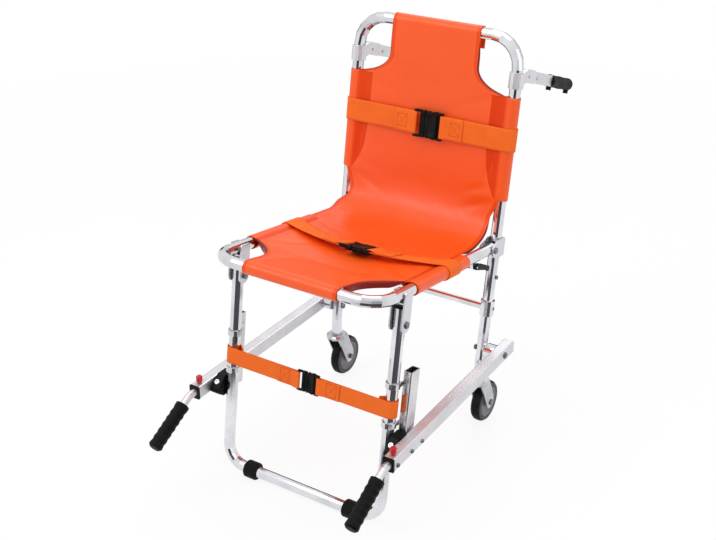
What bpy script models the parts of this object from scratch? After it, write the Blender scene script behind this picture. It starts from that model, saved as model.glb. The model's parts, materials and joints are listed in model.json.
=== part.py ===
"""Folding evacuation chair: back, seat, leg frame, carrying rails, handles and casters.

Frame: +X to the right of someone who stands in front of the chair, +Y to the rear, +Z up,
floor at Z = 0.  Lengths in metres.
"""
import math

import bmesh
import bpy
from mathutils import Matrix, Vector

# Frame tubes
TUBE_R = 0.0125
TUBE_WALL = 0.0015
TUBE_SIDES = 14
FRAME_HALF = 0.196
LEAN = math.radians(9.0)
GAP = 0.0003
ROUND_SIDES = 10

# Back frame
POST_FOOT_Y = 0.1644
TOP_Z = 0.900
TOP_BEND_R = 0.065
POST_STRAIGHT = 0.044
POST_KINK_R = 0.12
BACK_BAR_Z = 0.306
BACK_BAR_R = 0.008
BAR_SLEEVE_WALL = 0.003
BAR_SLEEVE_H = 0.036

# Seat frame and its hinge brackets on the posts
SEAT_BRACKET_Z = 0.450
SEAT_PIVOT_AHEAD = 0.031
SEAT_DEPTH = 0.473
SEAT_TAIL = 0.010
SEAT_BEND_R = 0.055
BRACKET_H = 0.042
BRACKET_NOSE = 0.012
BRACKET_NOSE_R = 0.008
SHEET_T = 0.003
SHEET_CORNER_R = 0.004

# Leg frame
LEG_FOOT_Y = -0.2547
FOOT_BAR_Z = 0.019
LEG_BEND_R = 0.048
LEG_HEAD = 0.033
HINGE_PLATE_W = 0.030
HINGE_PLATE_TAIL = 0.017
HINGE_PLATE_RISE = 0.009
FOOT_FROM_BEND = 0.005
FOOT_L = 0.030
FOOT_FLAT = 0.0005

# Braces on the legs that carry the front rail pivots
BRACE_W = 0.019
BRACE_D = 0.035
BRACE_WALL = 0.002
BRACE_CLEAR = 0.0055
BRACE_TO_RAIL = 0.003
BRACE_BELOW = 0.016
BRACE_ABOVE = 0.146
CLAMPS_ABOVE = (0.034, 0.119)
CLAMP_H = 0.012
CLAMP_WALL = 0.0025
CLAMP_TAB_L = 0.028
BLOCK_REACH = 0.042
BLOCK_ABOVE = 0.018
BLOCK_BELOW = 0.028
BLOCK_NOSE_DROP = 0.009
BLOCK_CORNER_R = 0.003
BLOCK_NOSE_R = 0.007

# Carrying rails and front handles
RAIL_Z = 0.206
RAIL_W = 0.025
RAIL_H = 0.030
RAIL_WALL = 0.002
RAIL_SPACE = 0.021
RAIL_MOUTH_Y = -0.292
RAIL_TAIL_Y = 0.241
RAIL_CORNER_R = 0.003
PIVOT_BLOCK_L = 0.040
PIVOT_BLOCK_H = 0.026
BUSH_L = 0.030
BUSH_FLANGE = 0.004
HANDLE_R = 0.0085
HANDLE_WALL = 0.0015
HANDLE_INSIDE_L = 0.240
HANDLE_BEND_R = 0.030
HANDLE_BEND_OUT = 0.022
HANDLE_DROP = math.radians(28.0)
HANDLE_COLLAR_L = 0.015
GRIP_R = 0.0155
GRIP_L = 0.110
GRIP_START = 0.024
GRIP_BLIND = 0.012
GRIP_GROOVES = 6
GRIP_RIM = 0.008
GRIP_CHAMFER = 0.004
GROOVE_DEPTH = 0.0015
LOCK_INSET = 0.015
LOCK_PIN_R = 0.003
LOCK_KNOB_R = 0.007
LOCK_KNOB_H = 0.013
LOCK_KNOB_LIFT = 0.004
LOCK_KNOB_CHAMFER = 0.0025

# Rear handles
REAR_CLAMP_FROM_BEND = 0.004
REAR_CLAMP_H = 0.034
REAR_CLAMP_WALL = 0.0035
REAR_PIVOT_BACK = 0.0437
REAR_PIVOT_DROP = 0.001
REAR_DROP = math.radians(19.4)
REAR_ARM_W = 0.016
REAR_ARM_H = 0.025
REAR_ARM_L = 0.139
REAR_EAR_H = 0.029
REAR_EAR_L = 0.034
REAR_STUD_AT = 0.053
REAR_STUD_R = 0.0045
REAR_STUD_H = 0.002
REAR_GRIP_L = 0.124
REAR_GRIP_R = 0.0145
REAR_TANG_R = 0.0075
REAR_TANG_L = 0.100
REAR_GRIP_WAIST = 0.92
GUARD_REACH = 0.021
GUARD_PEG_R = 0.0058
GUARD_INSET = 0.0075

# Casters
WHEEL_R = 0.050
WHEEL_W = 0.025
TYRE_DEPTH = 0.013
TREAD_ROUND = 0.005
WHEEL_SIDES = 28
CASTER_TRAIL = 0.034
FORK_T = 0.003
FORK_SIDE_GAP = 0.0025
RACE_R = 0.026
RACE_H = 0.012
RACE_CHAMFER = 0.004
CASTER_ROOM = 0.016
FORK_ROOT = 0.020
FORK_EYE_R = 0.013
STEM_L = 0.028
AXLE_R = 0.004
HUB_BOSS_R = 0.0095
HUB_WEB_T = 0.0138
HUB_RIM_T = 0.0066

# Bolts
BOLT_R = 0.004
BOLT_HEAD_R = 0.0075
BOLT_HEAD_H = 0.004
BOLT_CHAMFER = 0.0016
RIVET_HEAD_H = 0.002
NUT_R = 0.0065
NUT_H = 0.005
PIN_PLAY = 0.001
WELD = 0.001

# Fold latches under the seat tubes
LATCH_AT = 0.075
LATCH_CLEAR = 0.009
LATCH_W = 0.020
LATCH_BLOCK_W = 0.008
LATCH_BLOCK_L = 0.018
LATCH_PIN_R = 0.002
LATCH_EYE_R = 0.0048
LATCH_HEAD_L = 0.011
LATCH_KNEE_BACK = 0.0525
LATCH_KNEE_DROP = 0.014
LATCH_TIP_BACK = 0.0675
LATCH_TIP_DROP = 0.022
LATCH_TIP_T = 0.014
LATCH_CORNER_R = 0.004

# Sling and straps
CLOTH_T = 0.0015
SLEEVE_PLAY = 0.0007
BACK_SAG = 0.008
SEAT_SAG = 0.016
SLING_TOP_FROM_BEND = 0.024
SLING_FRONT_FROM_BEND = 0.030
SLEEVE_FROM_CLAMP = 0.0192
TOP_CUT_FLARE = 0.050
FRONT_CUT_FROM_BAR = 0.044
BACK_SLEEVE_ABOVE = 0.105
SEAT_SPLIT_AT = 0.120
SLEEVE_FROM_HINGE = 0.024
WRAP_TAIL = 0.035
SLEEVE_TAIL = 0.026
HAMMOCK_EDGE_IN = 0.016
HAMMOCK_IN_BY = 0.2
HAMMOCK_EDGE_PULL = (-0.039, -0.005)
HAMMOCK_MID_PULL = (-0.020, 0.003)
PANEL_COLUMNS = 10
STRAP_T = 0.002
STRAP_W = 0.050
LEG_STRAP_W = 0.037
CHEST_STRAP_BELOW = 0.0898
LEG_STRAP_ABOVE = 0.0695
LAP_STRAP_AT = 0.190
LAP_STRAP_BOW = 0.045
LAP_STRAP_DIP = 0.006
STRAP_TAIL = 0.022
BUCKLE_X = 0.008
BUCKLE_T = 0.013
BUCKLE_MARGIN = 0.006
BUCKLE_RIM = 0.0068
BUCKLE_WALL = 0.0027
BUCKLE_STEP = 0.001
BUCKLE_TAPER = 0.005
BUCKLE_SOCKET_L = 0.042
BUCKLE_PLUG_L = 0.030
BUCKLE_TONGUE_L = 0.018
BUCKLE_SCALE_LEG = 0.74

# Where the origin stands between the front and rear handles
ORIGIN_Y = 0.0754

UP = Vector((0.0, math.sin(LEAN), math.cos(LEAN)))
AHEAD = Vector((0.0, -math.cos(LEAN), math.sin(LEAN)))
SIDE = Vector((1.0, 0.0, 0.0))
REAR = Vector((0.0, 1.0, 0.0))
TOP = Vector((0.0, 0.0, 1.0))


def on_line(foot_y, z, x=0.0):
    """Point at height z on a line that leans back from foot_y on the floor."""
    return Vector((x, foot_y + math.tan(LEAN) * z, z))


def on_post(z, x=0.0):
    return on_line(POST_FOOT_Y, z, x)


def on_leg(z, x=0.0):
    return on_line(LEG_FOOT_Y, z, x)


# Heights and half widths that follow from the sizes above
POST_END_Z = 2 * WHEEL_R + CASTER_ROOM + RACE_H
POST_KINK_Z = POST_END_Z + POST_STRAIGHT
REAR_CLAMP_Z = TOP_Z - TOP_BEND_R - REAR_CLAMP_H / 2 - REAR_CLAMP_FROM_BEND
TOP_CUT_Z = REAR_CLAMP_Z - REAR_CLAMP_H / 2 - SLEEVE_FROM_CLAMP
CHEST_STRAP_Z = TOP_CUT_Z - CHEST_STRAP_BELOW
BACK_SLEEVE_END_Z = SEAT_BRACKET_Z + BACK_SLEEVE_ABOVE
BRACE_LOW_Z = RAIL_Z - BRACE_BELOW
BRACE_TOP_Z = RAIL_Z + BRACE_ABOVE
LEG_STRAP_Z = RAIL_Z + LEG_STRAP_ABOVE
FOOT_X = FRAME_HALF - LEG_BEND_R - FOOT_FROM_BEND - FOOT_L / 2
SLING_TOP_HALF = FRAME_HALF - TOP_BEND_R - SLING_TOP_FROM_BEND
SLING_FRONT_HALF = FRAME_HALF - SEAT_BEND_R - SLING_FRONT_FROM_BEND
BRACE_BEHIND = TUBE_R + BRACE_CLEAR
LATCH_DROP = TUBE_R + LATCH_CLEAR

# Pivots: the seat, the rails, the posts and the legs make a parallelogram
SEAT_PIVOT = on_post(SEAT_BRACKET_Z) + AHEAD * SEAT_PIVOT_AHEAD
RAIL_PIVOT = on_post(RAIL_Z)
LEG_PIVOT = on_leg(SEAT_PIVOT.z)
BRACE_PIVOT = LEG_PIVOT + (RAIL_PIVOT - SEAT_PIVOT)
SEAT_FRONT = SEAT_PIVOT + AHEAD * SEAT_DEPTH
HINGE_AT = (LEG_PIVOT - SEAT_PIVOT).dot(AHEAD)
SEAT_SLEEVE_END_AT = HINGE_AT - HINGE_PLATE_W / 2 - SLEEVE_FROM_HINGE
FRONT_CUT_FLARE = SEAT_DEPTH - FRONT_CUT_FROM_BAR - SEAT_SLEEVE_END_AT
RAIL_IN = FRAME_HALF + TUBE_R + RAIL_SPACE
RAIL_X = RAIL_IN + RAIL_W / 2
RAIL_OUT = RAIL_IN + RAIL_W
BRACE_X = RAIL_IN - BRACE_TO_RAIL - BRACE_W / 2
CASTER_AT = Vector((FRAME_HALF, on_post(POST_KINK_Z).y, POST_END_Z))
AXLE_AT = Vector((FRAME_HALF, CASTER_AT.y + CASTER_TRAIL, WHEEL_R))
REAR_PIVOT_AT = on_post(REAR_CLAMP_Z, FRAME_HALF) + REAR * REAR_PIVOT_BACK - TOP * REAR_PIVOT_DROP
REAR_ALONG = Vector((0.0, math.cos(REAR_DROP), -math.sin(REAR_DROP)))
REAR_ACROSS = Vector((0.0, math.sin(REAR_DROP), math.cos(REAR_DROP)))
HANDLE_MOUTH = Vector((RAIL_X, RAIL_MOUTH_Y, RAIL_Z))
GRIP_DIR = Vector((0.0, -math.cos(HANDLE_DROP), -math.sin(HANDLE_DROP)))
LOCK_AT = Vector((RAIL_X, RAIL_MOUTH_Y + LOCK_INSET, RAIL_Z + RAIL_H / 2))
SLEEVE_R = TUBE_R + SLEEVE_PLAY + CLOTH_T / 2
STRAP_OVER_R = SLEEVE_R + CLOTH_T / 2 + SLEEVE_PLAY + STRAP_T / 2
LEG_STRAP_R = TUBE_R + SLEEVE_PLAY + STRAP_T / 2
HOOK_END = math.radians(132.0)
HOOK_STEPS = 8


def bore(radius, sides=ROUND_SIDES):
    """Radius of a faceted hole whose flats clear a round of this radius."""
    return (radius + GAP) / math.cos(math.pi / sides)


def loft(loops):
    """Closed body through loops of equal length, with flat ends."""
    count = len(loops[0])
    points = [point for loop in loops for point in loop]
    faces = [tuple(range(count))]
    for step in range(len(loops) - 1):
        low = step * count
        for k in range(count):
            n = (k + 1) % count
            faces.append((low + k, low + n, low + count + n, low + count + k))
    last = (len(loops) - 1) * count
    faces.append(tuple(range(last, last + count)))
    return points, faces


def prism(outline, origin, along, across, depth):
    """Flat outline in the plane (along, across), drawn out by the depth vector."""
    base = [origin + along * point[0] + across * point[1] for point in outline]
    return loft([base, [point + depth for point in base]])


def rounded(corners, radius, steps=2, closed=True):
    """Corner points with each corner turned into an arc of the given radius."""
    points = [Vector(corner) for corner in corners]
    radii = radius if isinstance(radius, (list, tuple)) else [radius] * len(points)
    result = []
    for k, point in enumerate(points):
        if not radii[k] or (not closed and k in (0, len(points) - 1)):
            result.append(point)
            continue
        back = (points[k - 1] - point).normalized()
        on = (points[(k + 1) % len(points)] - point).normalized()
        half = back.angle(on) / 2
        middle = point + (back + on).normalized() * (radii[k] / math.sin(half))
        start = point + back * (radii[k] / math.tan(half)) - middle
        turn = math.pi - 2 * half
        count = max(2, round(steps * turn / (math.pi / 2)))
        for step in range(count + 1):
            angle = turn * step / count
            result.append(middle + start * math.cos(angle) - back * (radii[k] * math.sin(angle)))
    return result


def rectangle(width, height, radius, steps=2):
    """Outline of a rectangle about its middle, with rounded corners."""
    a = width / 2
    b = height / 2
    return rounded([(-a, -b, 0), (a, -b, 0), (a, b, 0), (-a, b, 0)], radius, steps)


def ring(centre, along, radius, sides, start=None):
    """Circle of points about a direction."""
    first = start or (SIDE if abs(along.x) < 0.9 else TOP)
    u = (first - along * first.dot(along)).normalized()
    v = along.cross(u)
    return [centre + (u * math.cos(t) + v * math.sin(t)) * radius
            for t in (2 * math.pi * (k + 0.5) / sides for k in range(sides))]


def tube(path, radius, wall, sides=TUBE_SIDES):
    """Hollow tube along a path, open at both ends."""
    tangents = []
    for k in range(len(path)):
        before = path[k] - path[max(k - 1, 0)]
        after = path[min(k + 1, len(path) - 1)] - path[k]
        tangents.append((before.normalized() + after.normalized()).normalized())
    plane = (path[-1] - path[0]).cross(path[len(path) // 2] - path[0])
    first = plane.normalized() if plane.length > 1e-6 else SIDE
    outer = [ring(p, t, radius, sides, first) for p, t in zip(path, tangents)]
    inner = [ring(p, t, radius - wall, sides, first) for p, t in zip(path, tangents)]
    points = [point for loop in outer + inner[::-1] for point in loop]
    total = len(outer) + len(inner)
    faces = []
    for step in range(total):
        low = step * sides
        high = ((step + 1) % total) * sides
        for k in range(sides):
            n = (k + 1) % sides
            faces.append((low + k, low + n, high + n, high + k))
    return points, faces


def revolve(profile, origin, axis, sides=ROUND_SIDES, start=None):
    """Body of revolution from (along, radius) pairs; a closed profile makes a ring."""
    is_ring = all(radius > 0 for _, radius in profile)
    points = []
    rows = []
    for along, radius in profile:
        centre = origin + axis * along
        if radius == 0:
            rows.append([len(points)] * sides)
            points.append(centre)
        else:
            rows.append(list(range(len(points), len(points) + sides)))
            points.extend(ring(centre, axis, radius, sides, start))
    faces = []
    for step in range(len(rows) if is_ring else len(rows) - 1):
        low = rows[step]
        high = rows[(step + 1) % len(rows)]
        for k in range(sides):
            n = (k + 1) % sides
            corners = [low[k], low[n], high[n], high[k]]
            faces.append(tuple(dict.fromkeys(corners)))
    return points, faces


def rod(start, end, radius, sides=ROUND_SIDES):
    axis = (end - start).normalized()
    length = (end - start).length
    return revolve([(0, 0), (0, radius), (length, radius), (length, 0)], start, axis, sides)


def box(low, high):
    outline = [(low[0], low[1]), (high[0], low[1]), (high[0], high[1]), (low[0], high[1])]
    return prism(outline, Vector((0, 0, low[2])), SIDE, REAR, TOP * (high[2] - low[2]))


def finish(name, colour, roughness, metallic):
    material = bpy.data.materials.new(name)
    material.use_nodes = True
    shader = material.node_tree.nodes["Principled BSDF"]
    shader.inputs["Base Color"].default_value = (*colour, 1.0)
    shader.inputs["Roughness"].default_value = roughness
    shader.inputs["Metallic"].default_value = metallic
    return material


def piece(name, shape, material=None):
    """Mesh object in the chair's frame with its faces turned outward."""
    mesh = bpy.data.meshes.new(name)
    mesh.from_pydata([tuple(point) for point in shape[0]], [], shape[1])
    shell = bmesh.new()
    shell.from_mesh(mesh)
    bmesh.ops.recalc_face_normals(shell, faces=shell.faces)
    shell.to_mesh(mesh)
    shell.free()
    obj = bpy.data.objects.new(name, mesh)
    bpy.context.scene.collection.objects.link(obj)
    if material:
        mesh.materials.append(material)
        mesh.shade_smooth()
        mesh.set_sharp_from_angle(angle=math.radians(35))
    return obj


def carve(target, shape, operation="DIFFERENCE"):
    """Cut, join or intersect a piece with another shape and keep the result."""
    tool = piece("tool", shape)
    modifier = target.modifiers.new("carve", "BOOLEAN")
    modifier.operation = operation
    modifier.solver = "EXACT"
    modifier.object = tool
    bpy.context.view_layer.update()
    graph = bpy.context.evaluated_depsgraph_get()
    shaped = bpy.data.meshes.new_from_object(target.evaluated_get(graph))
    target.modifiers.remove(modifier)
    old = target.data
    target.data = shaped
    shaped.name = target.name
    bpy.data.meshes.remove(old)
    bpy.data.objects.remove(tool)


def drill(target, centre, radius, reach=0.05, axis=SIDE):
    """Hole for a bolt of this radius, right through the piece."""
    carve(target, rod(centre - axis * reach, centre + axis * reach, bore(radius)))


def flipped(mesh):
    """Copy of a mesh reflected in the chair's middle plane."""
    copy = mesh.copy()
    copy.transform(Matrix.Scale(-1.0, 4, SIDE))
    copy.flip_normals()
    return copy


def seat_in(target, body):
    """Hang a piece on a body's empty, with the mesh measured from that empty."""
    target.data.transform(Matrix.Translation(-body["at"]))
    target.parent = body["empty"]


def body(name, at, parent=None):
    """Empty on a joint's axis that carries the pieces of one moving body."""
    empty = bpy.data.objects.new(name + "_axis", None)
    bpy.context.scene.collection.objects.link(empty)
    if parent:
        empty.parent = parent["empty"]
        empty.location = at - parent["at"]
    else:
        empty.location = at - REAR * ORIGIN_Y
    return {"empty": empty, "at": at}


def both_sides(right, name, bodies):
    """Name a right-hand piece, make its left-hand twin and hang each on its body."""
    left = bpy.data.objects.new(name + "_left", flipped(right.data))
    left.data.name = left.name
    bpy.context.scene.collection.objects.link(left)
    right.name = name + "_right"
    right.data.name = right.name
    seat_in(right, bodies[0])
    seat_in(left, bodies[-1])


def mirrored(point):
    return Vector((-point.x, point.y, point.z))


def hook(radius, tail, steps=HOOK_STEPS):
    """Cloth path round a tube: (outward, rearward) offsets from the front round to a tail."""
    path = []
    for k in range(steps + 1):
        angle = -math.pi / 2 + (HOOK_END + math.pi / 2) * k / steps
        path.append((radius * math.cos(angle), radius * math.sin(angle)))
    path.append((path[-1][0] - tail * math.sin(HOOK_END), path[-1][1] + tail * math.cos(HOOK_END)))
    return path


def cloth(name, grid, material, thickness):
    """Sheet from rows of points, None where the cloth is cut away, with its thickness added."""
    index = {}
    points = []
    for r, row in enumerate(grid):
        for c, point in enumerate(row):
            if point is not None:
                index[r, c] = len(points)
                points.append(tuple(point))
    faces = []
    for r in range(len(grid) - 1):
        for c in range(len(grid[0]) - 1):
            corners = [(r, c), (r, c + 1), (r + 1, c + 1), (r + 1, c)]
            if all(corner in index for corner in corners):
                faces.append(tuple(index[corner] for corner in corners))
    obj = piece(name, (points, faces), material)
    solid = obj.modifiers.new("thickness", "SOLIDIFY")
    solid.thickness = thickness
    solid.offset = 0.0
    solid.use_even_offset = True
    return obj


def sling_row(edge, middle, half, sleeve=None):
    """One row across the sling, out to a half width, with a sleeve round each tube if asked.

    Edge is where the row's sag ends over the tubes, and middle is its lowest point.
    """
    hooked = hook(SLEEVE_R, SLEEVE_TAIL)[1:]
    left = [None] * len(hooked)
    right = [None] * len(hooked)
    if sleeve:
        centre, front = sleeve
        for k, (out, back) in enumerate(hooked):
            at = centre - front * back
            right[k] = at + SIDE * (FRAME_HALF + out)
            left[k] = at - SIDE * (FRAME_HALF + out)
    panel = []
    for k in range(PANEL_COLUMNS + 1):
        x = half * (2 * k / PANEL_COLUMNS - 1)
        panel.append(middle + (edge - middle) * (x / FRAME_HALF) ** 2 + SIDE * x)
    return left[::-1] + panel + right


def cut_flare(narrow, length, steps=5):
    """Half widths and distances along a rounded corner cut-out, narrow end first."""
    result = []
    for k in range(steps + 1):
        angle = math.pi / 2 * k / steps
        half = narrow + (FRAME_HALF - narrow) * (1 - math.cos(angle))
        result.append((half, length * math.sin(angle)))
    return result


def wrap_rows(centre, front, inward, half, steps=8):
    """Rows of cloth from a tail behind an end bar, round the bar, to its front side."""
    rows = []
    tail = centre + inward * WRAP_TAIL - front * SLEEVE_R
    rows.append(sling_row(tail, tail, half))
    for k in range(steps + 1):
        angle = math.pi * k / steps
        at = centre - front * (SLEEVE_R * math.cos(angle)) - inward * (SLEEVE_R * math.sin(angle))
        rows.append(sling_row(at, at, half))
    return rows


def strap(name, sign, centre, front, across, radius, width, stop, bow=0.0, dip=0.0):
    """One strap half: hooked round the tube on its side and run to the buckle end at x = stop."""
    line = [centre - front * back + SIDE * out for out, back in reversed(hook(radius, STRAP_TAIL))]
    run = FRAME_HALF - sign * stop
    steps = 8
    for k in range(1, steps + 1):
        line.append(centre + front * radius - SIDE * (run * k / steps))
    rows = [[], []]
    for point in line:
        share = min(abs(point.x) / FRAME_HALF, 1.0)
        drift = (across * bow - front * dip) * (1 - share * share)
        at = Vector((sign * point.x, point.y, point.z)) + drift
        rows[0].append(at - across * (width / 2))
        rows[1].append(at + across * (width / 2))
    return cloth(name, rows, webbing, STRAP_T)


def buckle(centre, front, across, scale, width, prefix, material, owner):
    """Side-release buckle: a socket with a mouth and a plug whose tongue stands in it."""
    half_h = width / 2 + BUCKLE_MARGIN * scale
    half_t = BUCKLE_T * scale / 2
    socket_l = BUCKLE_SOCKET_L * scale
    plug_l = BUCKLE_PLUG_L * scale
    tongue_l = BUCKLE_TONGUE_L * scale
    corner = BUCKLE_MARGIN * scale
    parting = (plug_l - socket_l) / 2

    def block(low, high, tall, deep):
        outline = rounded([(low, -tall, 0), (high, -tall, 0), (high, tall, 0), (low, tall, 0)],
                          corner, 2)
        start = centre - front * deep
        return prism(outline, start, SIDE, across, front * (2 * deep))

    socket = piece(prefix + "_buckle_socket", block(parting, parting + socket_l, half_h, half_t),
                   material)
    mouth_h = half_h - BUCKLE_RIM * scale
    mouth_t = half_t - BUCKLE_WALL * scale
    mouth = [(parting - corner, -mouth_h), (parting + tongue_l + GAP, -mouth_h),
             (parting + tongue_l + GAP, mouth_h), (parting - corner, mouth_h)]
    carve(socket, prism(mouth, centre - front * mouth_t, SIDE, across, front * (2 * mouth_t)))
    plug_t = half_t - BUCKLE_STEP * scale
    plug = piece(prefix + "_buckle_plug", block(parting - plug_l, parting - GAP, half_h, plug_t), material)
    tongue_h = mouth_h - GAP
    tongue_t = mouth_t - GAP
    tip_h = tongue_h - BUCKLE_TAPER * scale
    tongue = [(parting - plug_l / 2, -tongue_h), (parting + tongue_l, -tip_h),
              (parting + tongue_l, tip_h), (parting - plug_l / 2, tongue_h)]
    carve(plug, prism(tongue, centre - front * tongue_t, SIDE, across, front * (2 * tongue_t)), "UNION")
    seat_in(socket, owner)
    seat_in(plug, owner)


def through_bolt(at, low_x, high_x):
    """Bolt along X with its head outside high_x and its nut outside low_x."""
    profile = [(low_x - NUT_H, 0), (low_x - NUT_H, NUT_R), (low_x - GAP, NUT_R), (low_x - GAP, BOLT_R),
               (high_x + GAP, BOLT_R), (high_x + GAP, BOLT_HEAD_R),
               (high_x + BOLT_HEAD_H - BOLT_CHAMFER, BOLT_HEAD_R),
               (high_x + BOLT_HEAD_H, BOLT_HEAD_R - BOLT_CHAMFER), (high_x + BOLT_HEAD_H, 0)]
    return revolve(profile, Vector((0, at.y, at.z)), SIDE)


def square_tube(centre, along, across, width, height, wall, depth, corner):
    """Hollow rectangular tube with rounded corners, drawn out by the depth vector."""
    outer = rectangle(width, height, corner)
    inner = rectangle(width - 2 * wall, height - 2 * wall, max(corner - wall, wall / 4))
    loops = []
    for shape, shift in ((outer, 0), (outer, 1), (inner, 1), (inner, 0)):
        loops.append([centre + along * p.x + across * p.y + depth * shift for p in shape])
    count = len(outer)
    points = [point for loop in loops for point in loop]
    faces = []
    for step in range(4):
        low = step * count
        high = ((step + 1) % 4) * count
        for k in range(count):
            n = (k + 1) % count
            faces.append((low + k, low + n, high + n, high + k))
    return points, faces


for old in list(bpy.data.objects):
    bpy.data.objects.remove(old)

chrome = finish("polished_tube", (0.80, 0.80, 0.82), 0.18, 1.0)
satin = finish("satin_aluminium", (0.66, 0.63, 0.63), 0.38, 1.0)
zinc = finish("zinc_plate", (0.62, 0.63, 0.65), 0.35, 1.0)
steel = finish("bolt_steel", (0.35, 0.35, 0.36), 0.35, 1.0)
black = finish("black_plastic", (0.015, 0.015, 0.017), 0.45, 0.0)
grip_rubber = finish("grip_rubber", (0.012, 0.012, 0.013), 0.65, 0.0)
tread = finish("tyre_rubber", (0.02, 0.02, 0.022), 0.7, 0.0)
hub_grey = finish("hub_plastic", (0.45, 0.46, 0.48), 0.5, 0.0)
red = finish("red_knob", (0.65, 0.02, 0.02), 0.35, 0.0)
orange = finish("orange_vinyl", (0.90, 0.12, 0.03), 0.35, 0.0)
webbing = finish("orange_webbing", (0.82, 0.15, 0.03), 0.6, 0.0)

chair = body("chair", Vector((0, 0, 0)))
seat = body("seat", SEAT_PIVOT, chair)
legs = body("legs", LEG_PIVOT, seat)
rail_at = Vector((RAIL_X, RAIL_PIVOT.y, RAIL_Z))
rails = [body("rail_right", rail_at, chair), body("rail_left", mirrored(rail_at), chair)]
front_handles = [body("front_handle_right", HANDLE_MOUTH, rails[0]),
                 body("front_handle_left", mirrored(HANDLE_MOUTH), rails[1])]
lock_pins = [body("lock_pin_right", LOCK_AT, rails[0]),
             body("lock_pin_left", mirrored(LOCK_AT), rails[1])]
rear_handles = [body("rear_handle_right", REAR_PIVOT_AT, chair),
                body("rear_handle_left", mirrored(REAR_PIVOT_AT), chair)]
casters = [body("caster_right", CASTER_AT, chair), body("caster_left", mirrored(CASTER_AT), chair)]
wheels = [body("wheel_right", AXLE_AT, casters[0]), body("wheel_left", mirrored(AXLE_AT), casters[1])]
latch_at = SEAT_PIVOT + AHEAD * LATCH_AT - UP * LATCH_DROP + SIDE * FRAME_HALF
latches = [body("fold_latch_right", latch_at, seat), body("fold_latch_left", mirrored(latch_at), seat)]


def u_tube(corner_list, radii, steps=5):
    """Bent tube from its right-hand corner points, mirrored across the middle."""
    corners = corner_list + [mirrored(point) for point in reversed(corner_list)]
    bends = radii + list(reversed(radii))
    path = rounded(corners, bends, steps, closed=False)
    return tube(path, TUBE_R, TUBE_WALL)


def make_back_frame():
    corners = [CASTER_AT, on_post(POST_KINK_Z, FRAME_HALF), on_post(TOP_Z, FRAME_HALF)]
    frame = piece("back_frame", u_tube(corners, [0, POST_KINK_R, TOP_BEND_R]), chrome)
    view = rectangle(PIVOT_BLOCK_L, PIVOT_BLOCK_H, PIVOT_BLOCK_H / 2 - WELD, 4)
    for sign in (1, -1):
        lug = Vector((sign * (FRAME_HALF + TUBE_R - WELD), RAIL_PIVOT.y, RAIL_Z))
        carve(frame, prism(view, lug, REAR, TOP, SIDE * (sign * (RAIL_SPACE + WELD - GAP))), "UNION")
    drill(frame, RAIL_PIVOT, BOLT_R, reach=RAIL_OUT)
    seat_in(frame, chair)
    bolt = piece("rail_pivot_bolt", through_bolt(RAIL_PIVOT, FRAME_HALF - TUBE_R, RAIL_OUT), steel)
    both_sides(bolt, "rail_pivot_bolt", [chair])


def make_back_bar():
    middle = on_post(BACK_BAR_Z)
    hole = bore(TUBE_R, TUBE_SIDES)
    half = UP * (BAR_SLEEVE_H / 2)
    end = SIDE * FRAME_HALF
    bar = piece("rear_crossbar", rod(middle - end, middle + end, BACK_BAR_R), chrome)
    for at in (middle + end, middle - end):
        carve(bar, rod(at - half, at + half, hole + BAR_SLEEVE_WALL, TUBE_SIDES), "UNION")
    for at in (middle + end, middle - end):
        carve(bar, rod(at - half * 2, at + half * 2, hole, TUBE_SIDES))
    carve(bar, rod(middle - end, middle + end, BACK_BAR_R - TUBE_WALL))
    seat_in(bar, chair)


def make_seat_brackets():
    inner = TUBE_R + GAP
    outer = inner + SHEET_T
    nose = SEAT_PIVOT_AHEAD + BRACKET_NOSE
    channel = [(-outer, -outer), (outer, -outer), (outer, nose), (inner, nose),
               (inner, -inner), (-inner, -inner), (-inner, nose), (-outer, nose)]
    foot = on_post(SEAT_BRACKET_Z, FRAME_HALF) - UP * (BRACKET_H / 2)
    bracket = piece("seat_bracket", prism(channel, foot, SIDE, AHEAD, UP * BRACKET_H), satin)
    half = BRACKET_H / 2
    side = [(-outer, -half, 0), (nose - half, -half, 0), (nose, -half / 2, 0), (nose, half / 2, 0),
            (nose - half, half, 0), (-outer, half, 0)]
    view = rounded(side, [SHEET_CORNER_R] + [BRACKET_NOSE_R] * 4 + [SHEET_CORNER_R])
    start = on_post(SEAT_BRACKET_Z, FRAME_HALF - outer * 2)
    carve(bracket, prism(view, start, AHEAD, UP, SIDE * (outer * 4)), "INTERSECT")
    drill(bracket, SEAT_PIVOT + SIDE * FRAME_HALF, BOLT_R)
    both_sides(bracket, "seat_bracket", [chair])
    bolt = piece("seat_pivot_bolt", through_bolt(SEAT_PIVOT, FRAME_HALF - outer, FRAME_HALF + outer), steel)
    both_sides(bolt, "seat_pivot_bolt", [chair])


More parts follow.
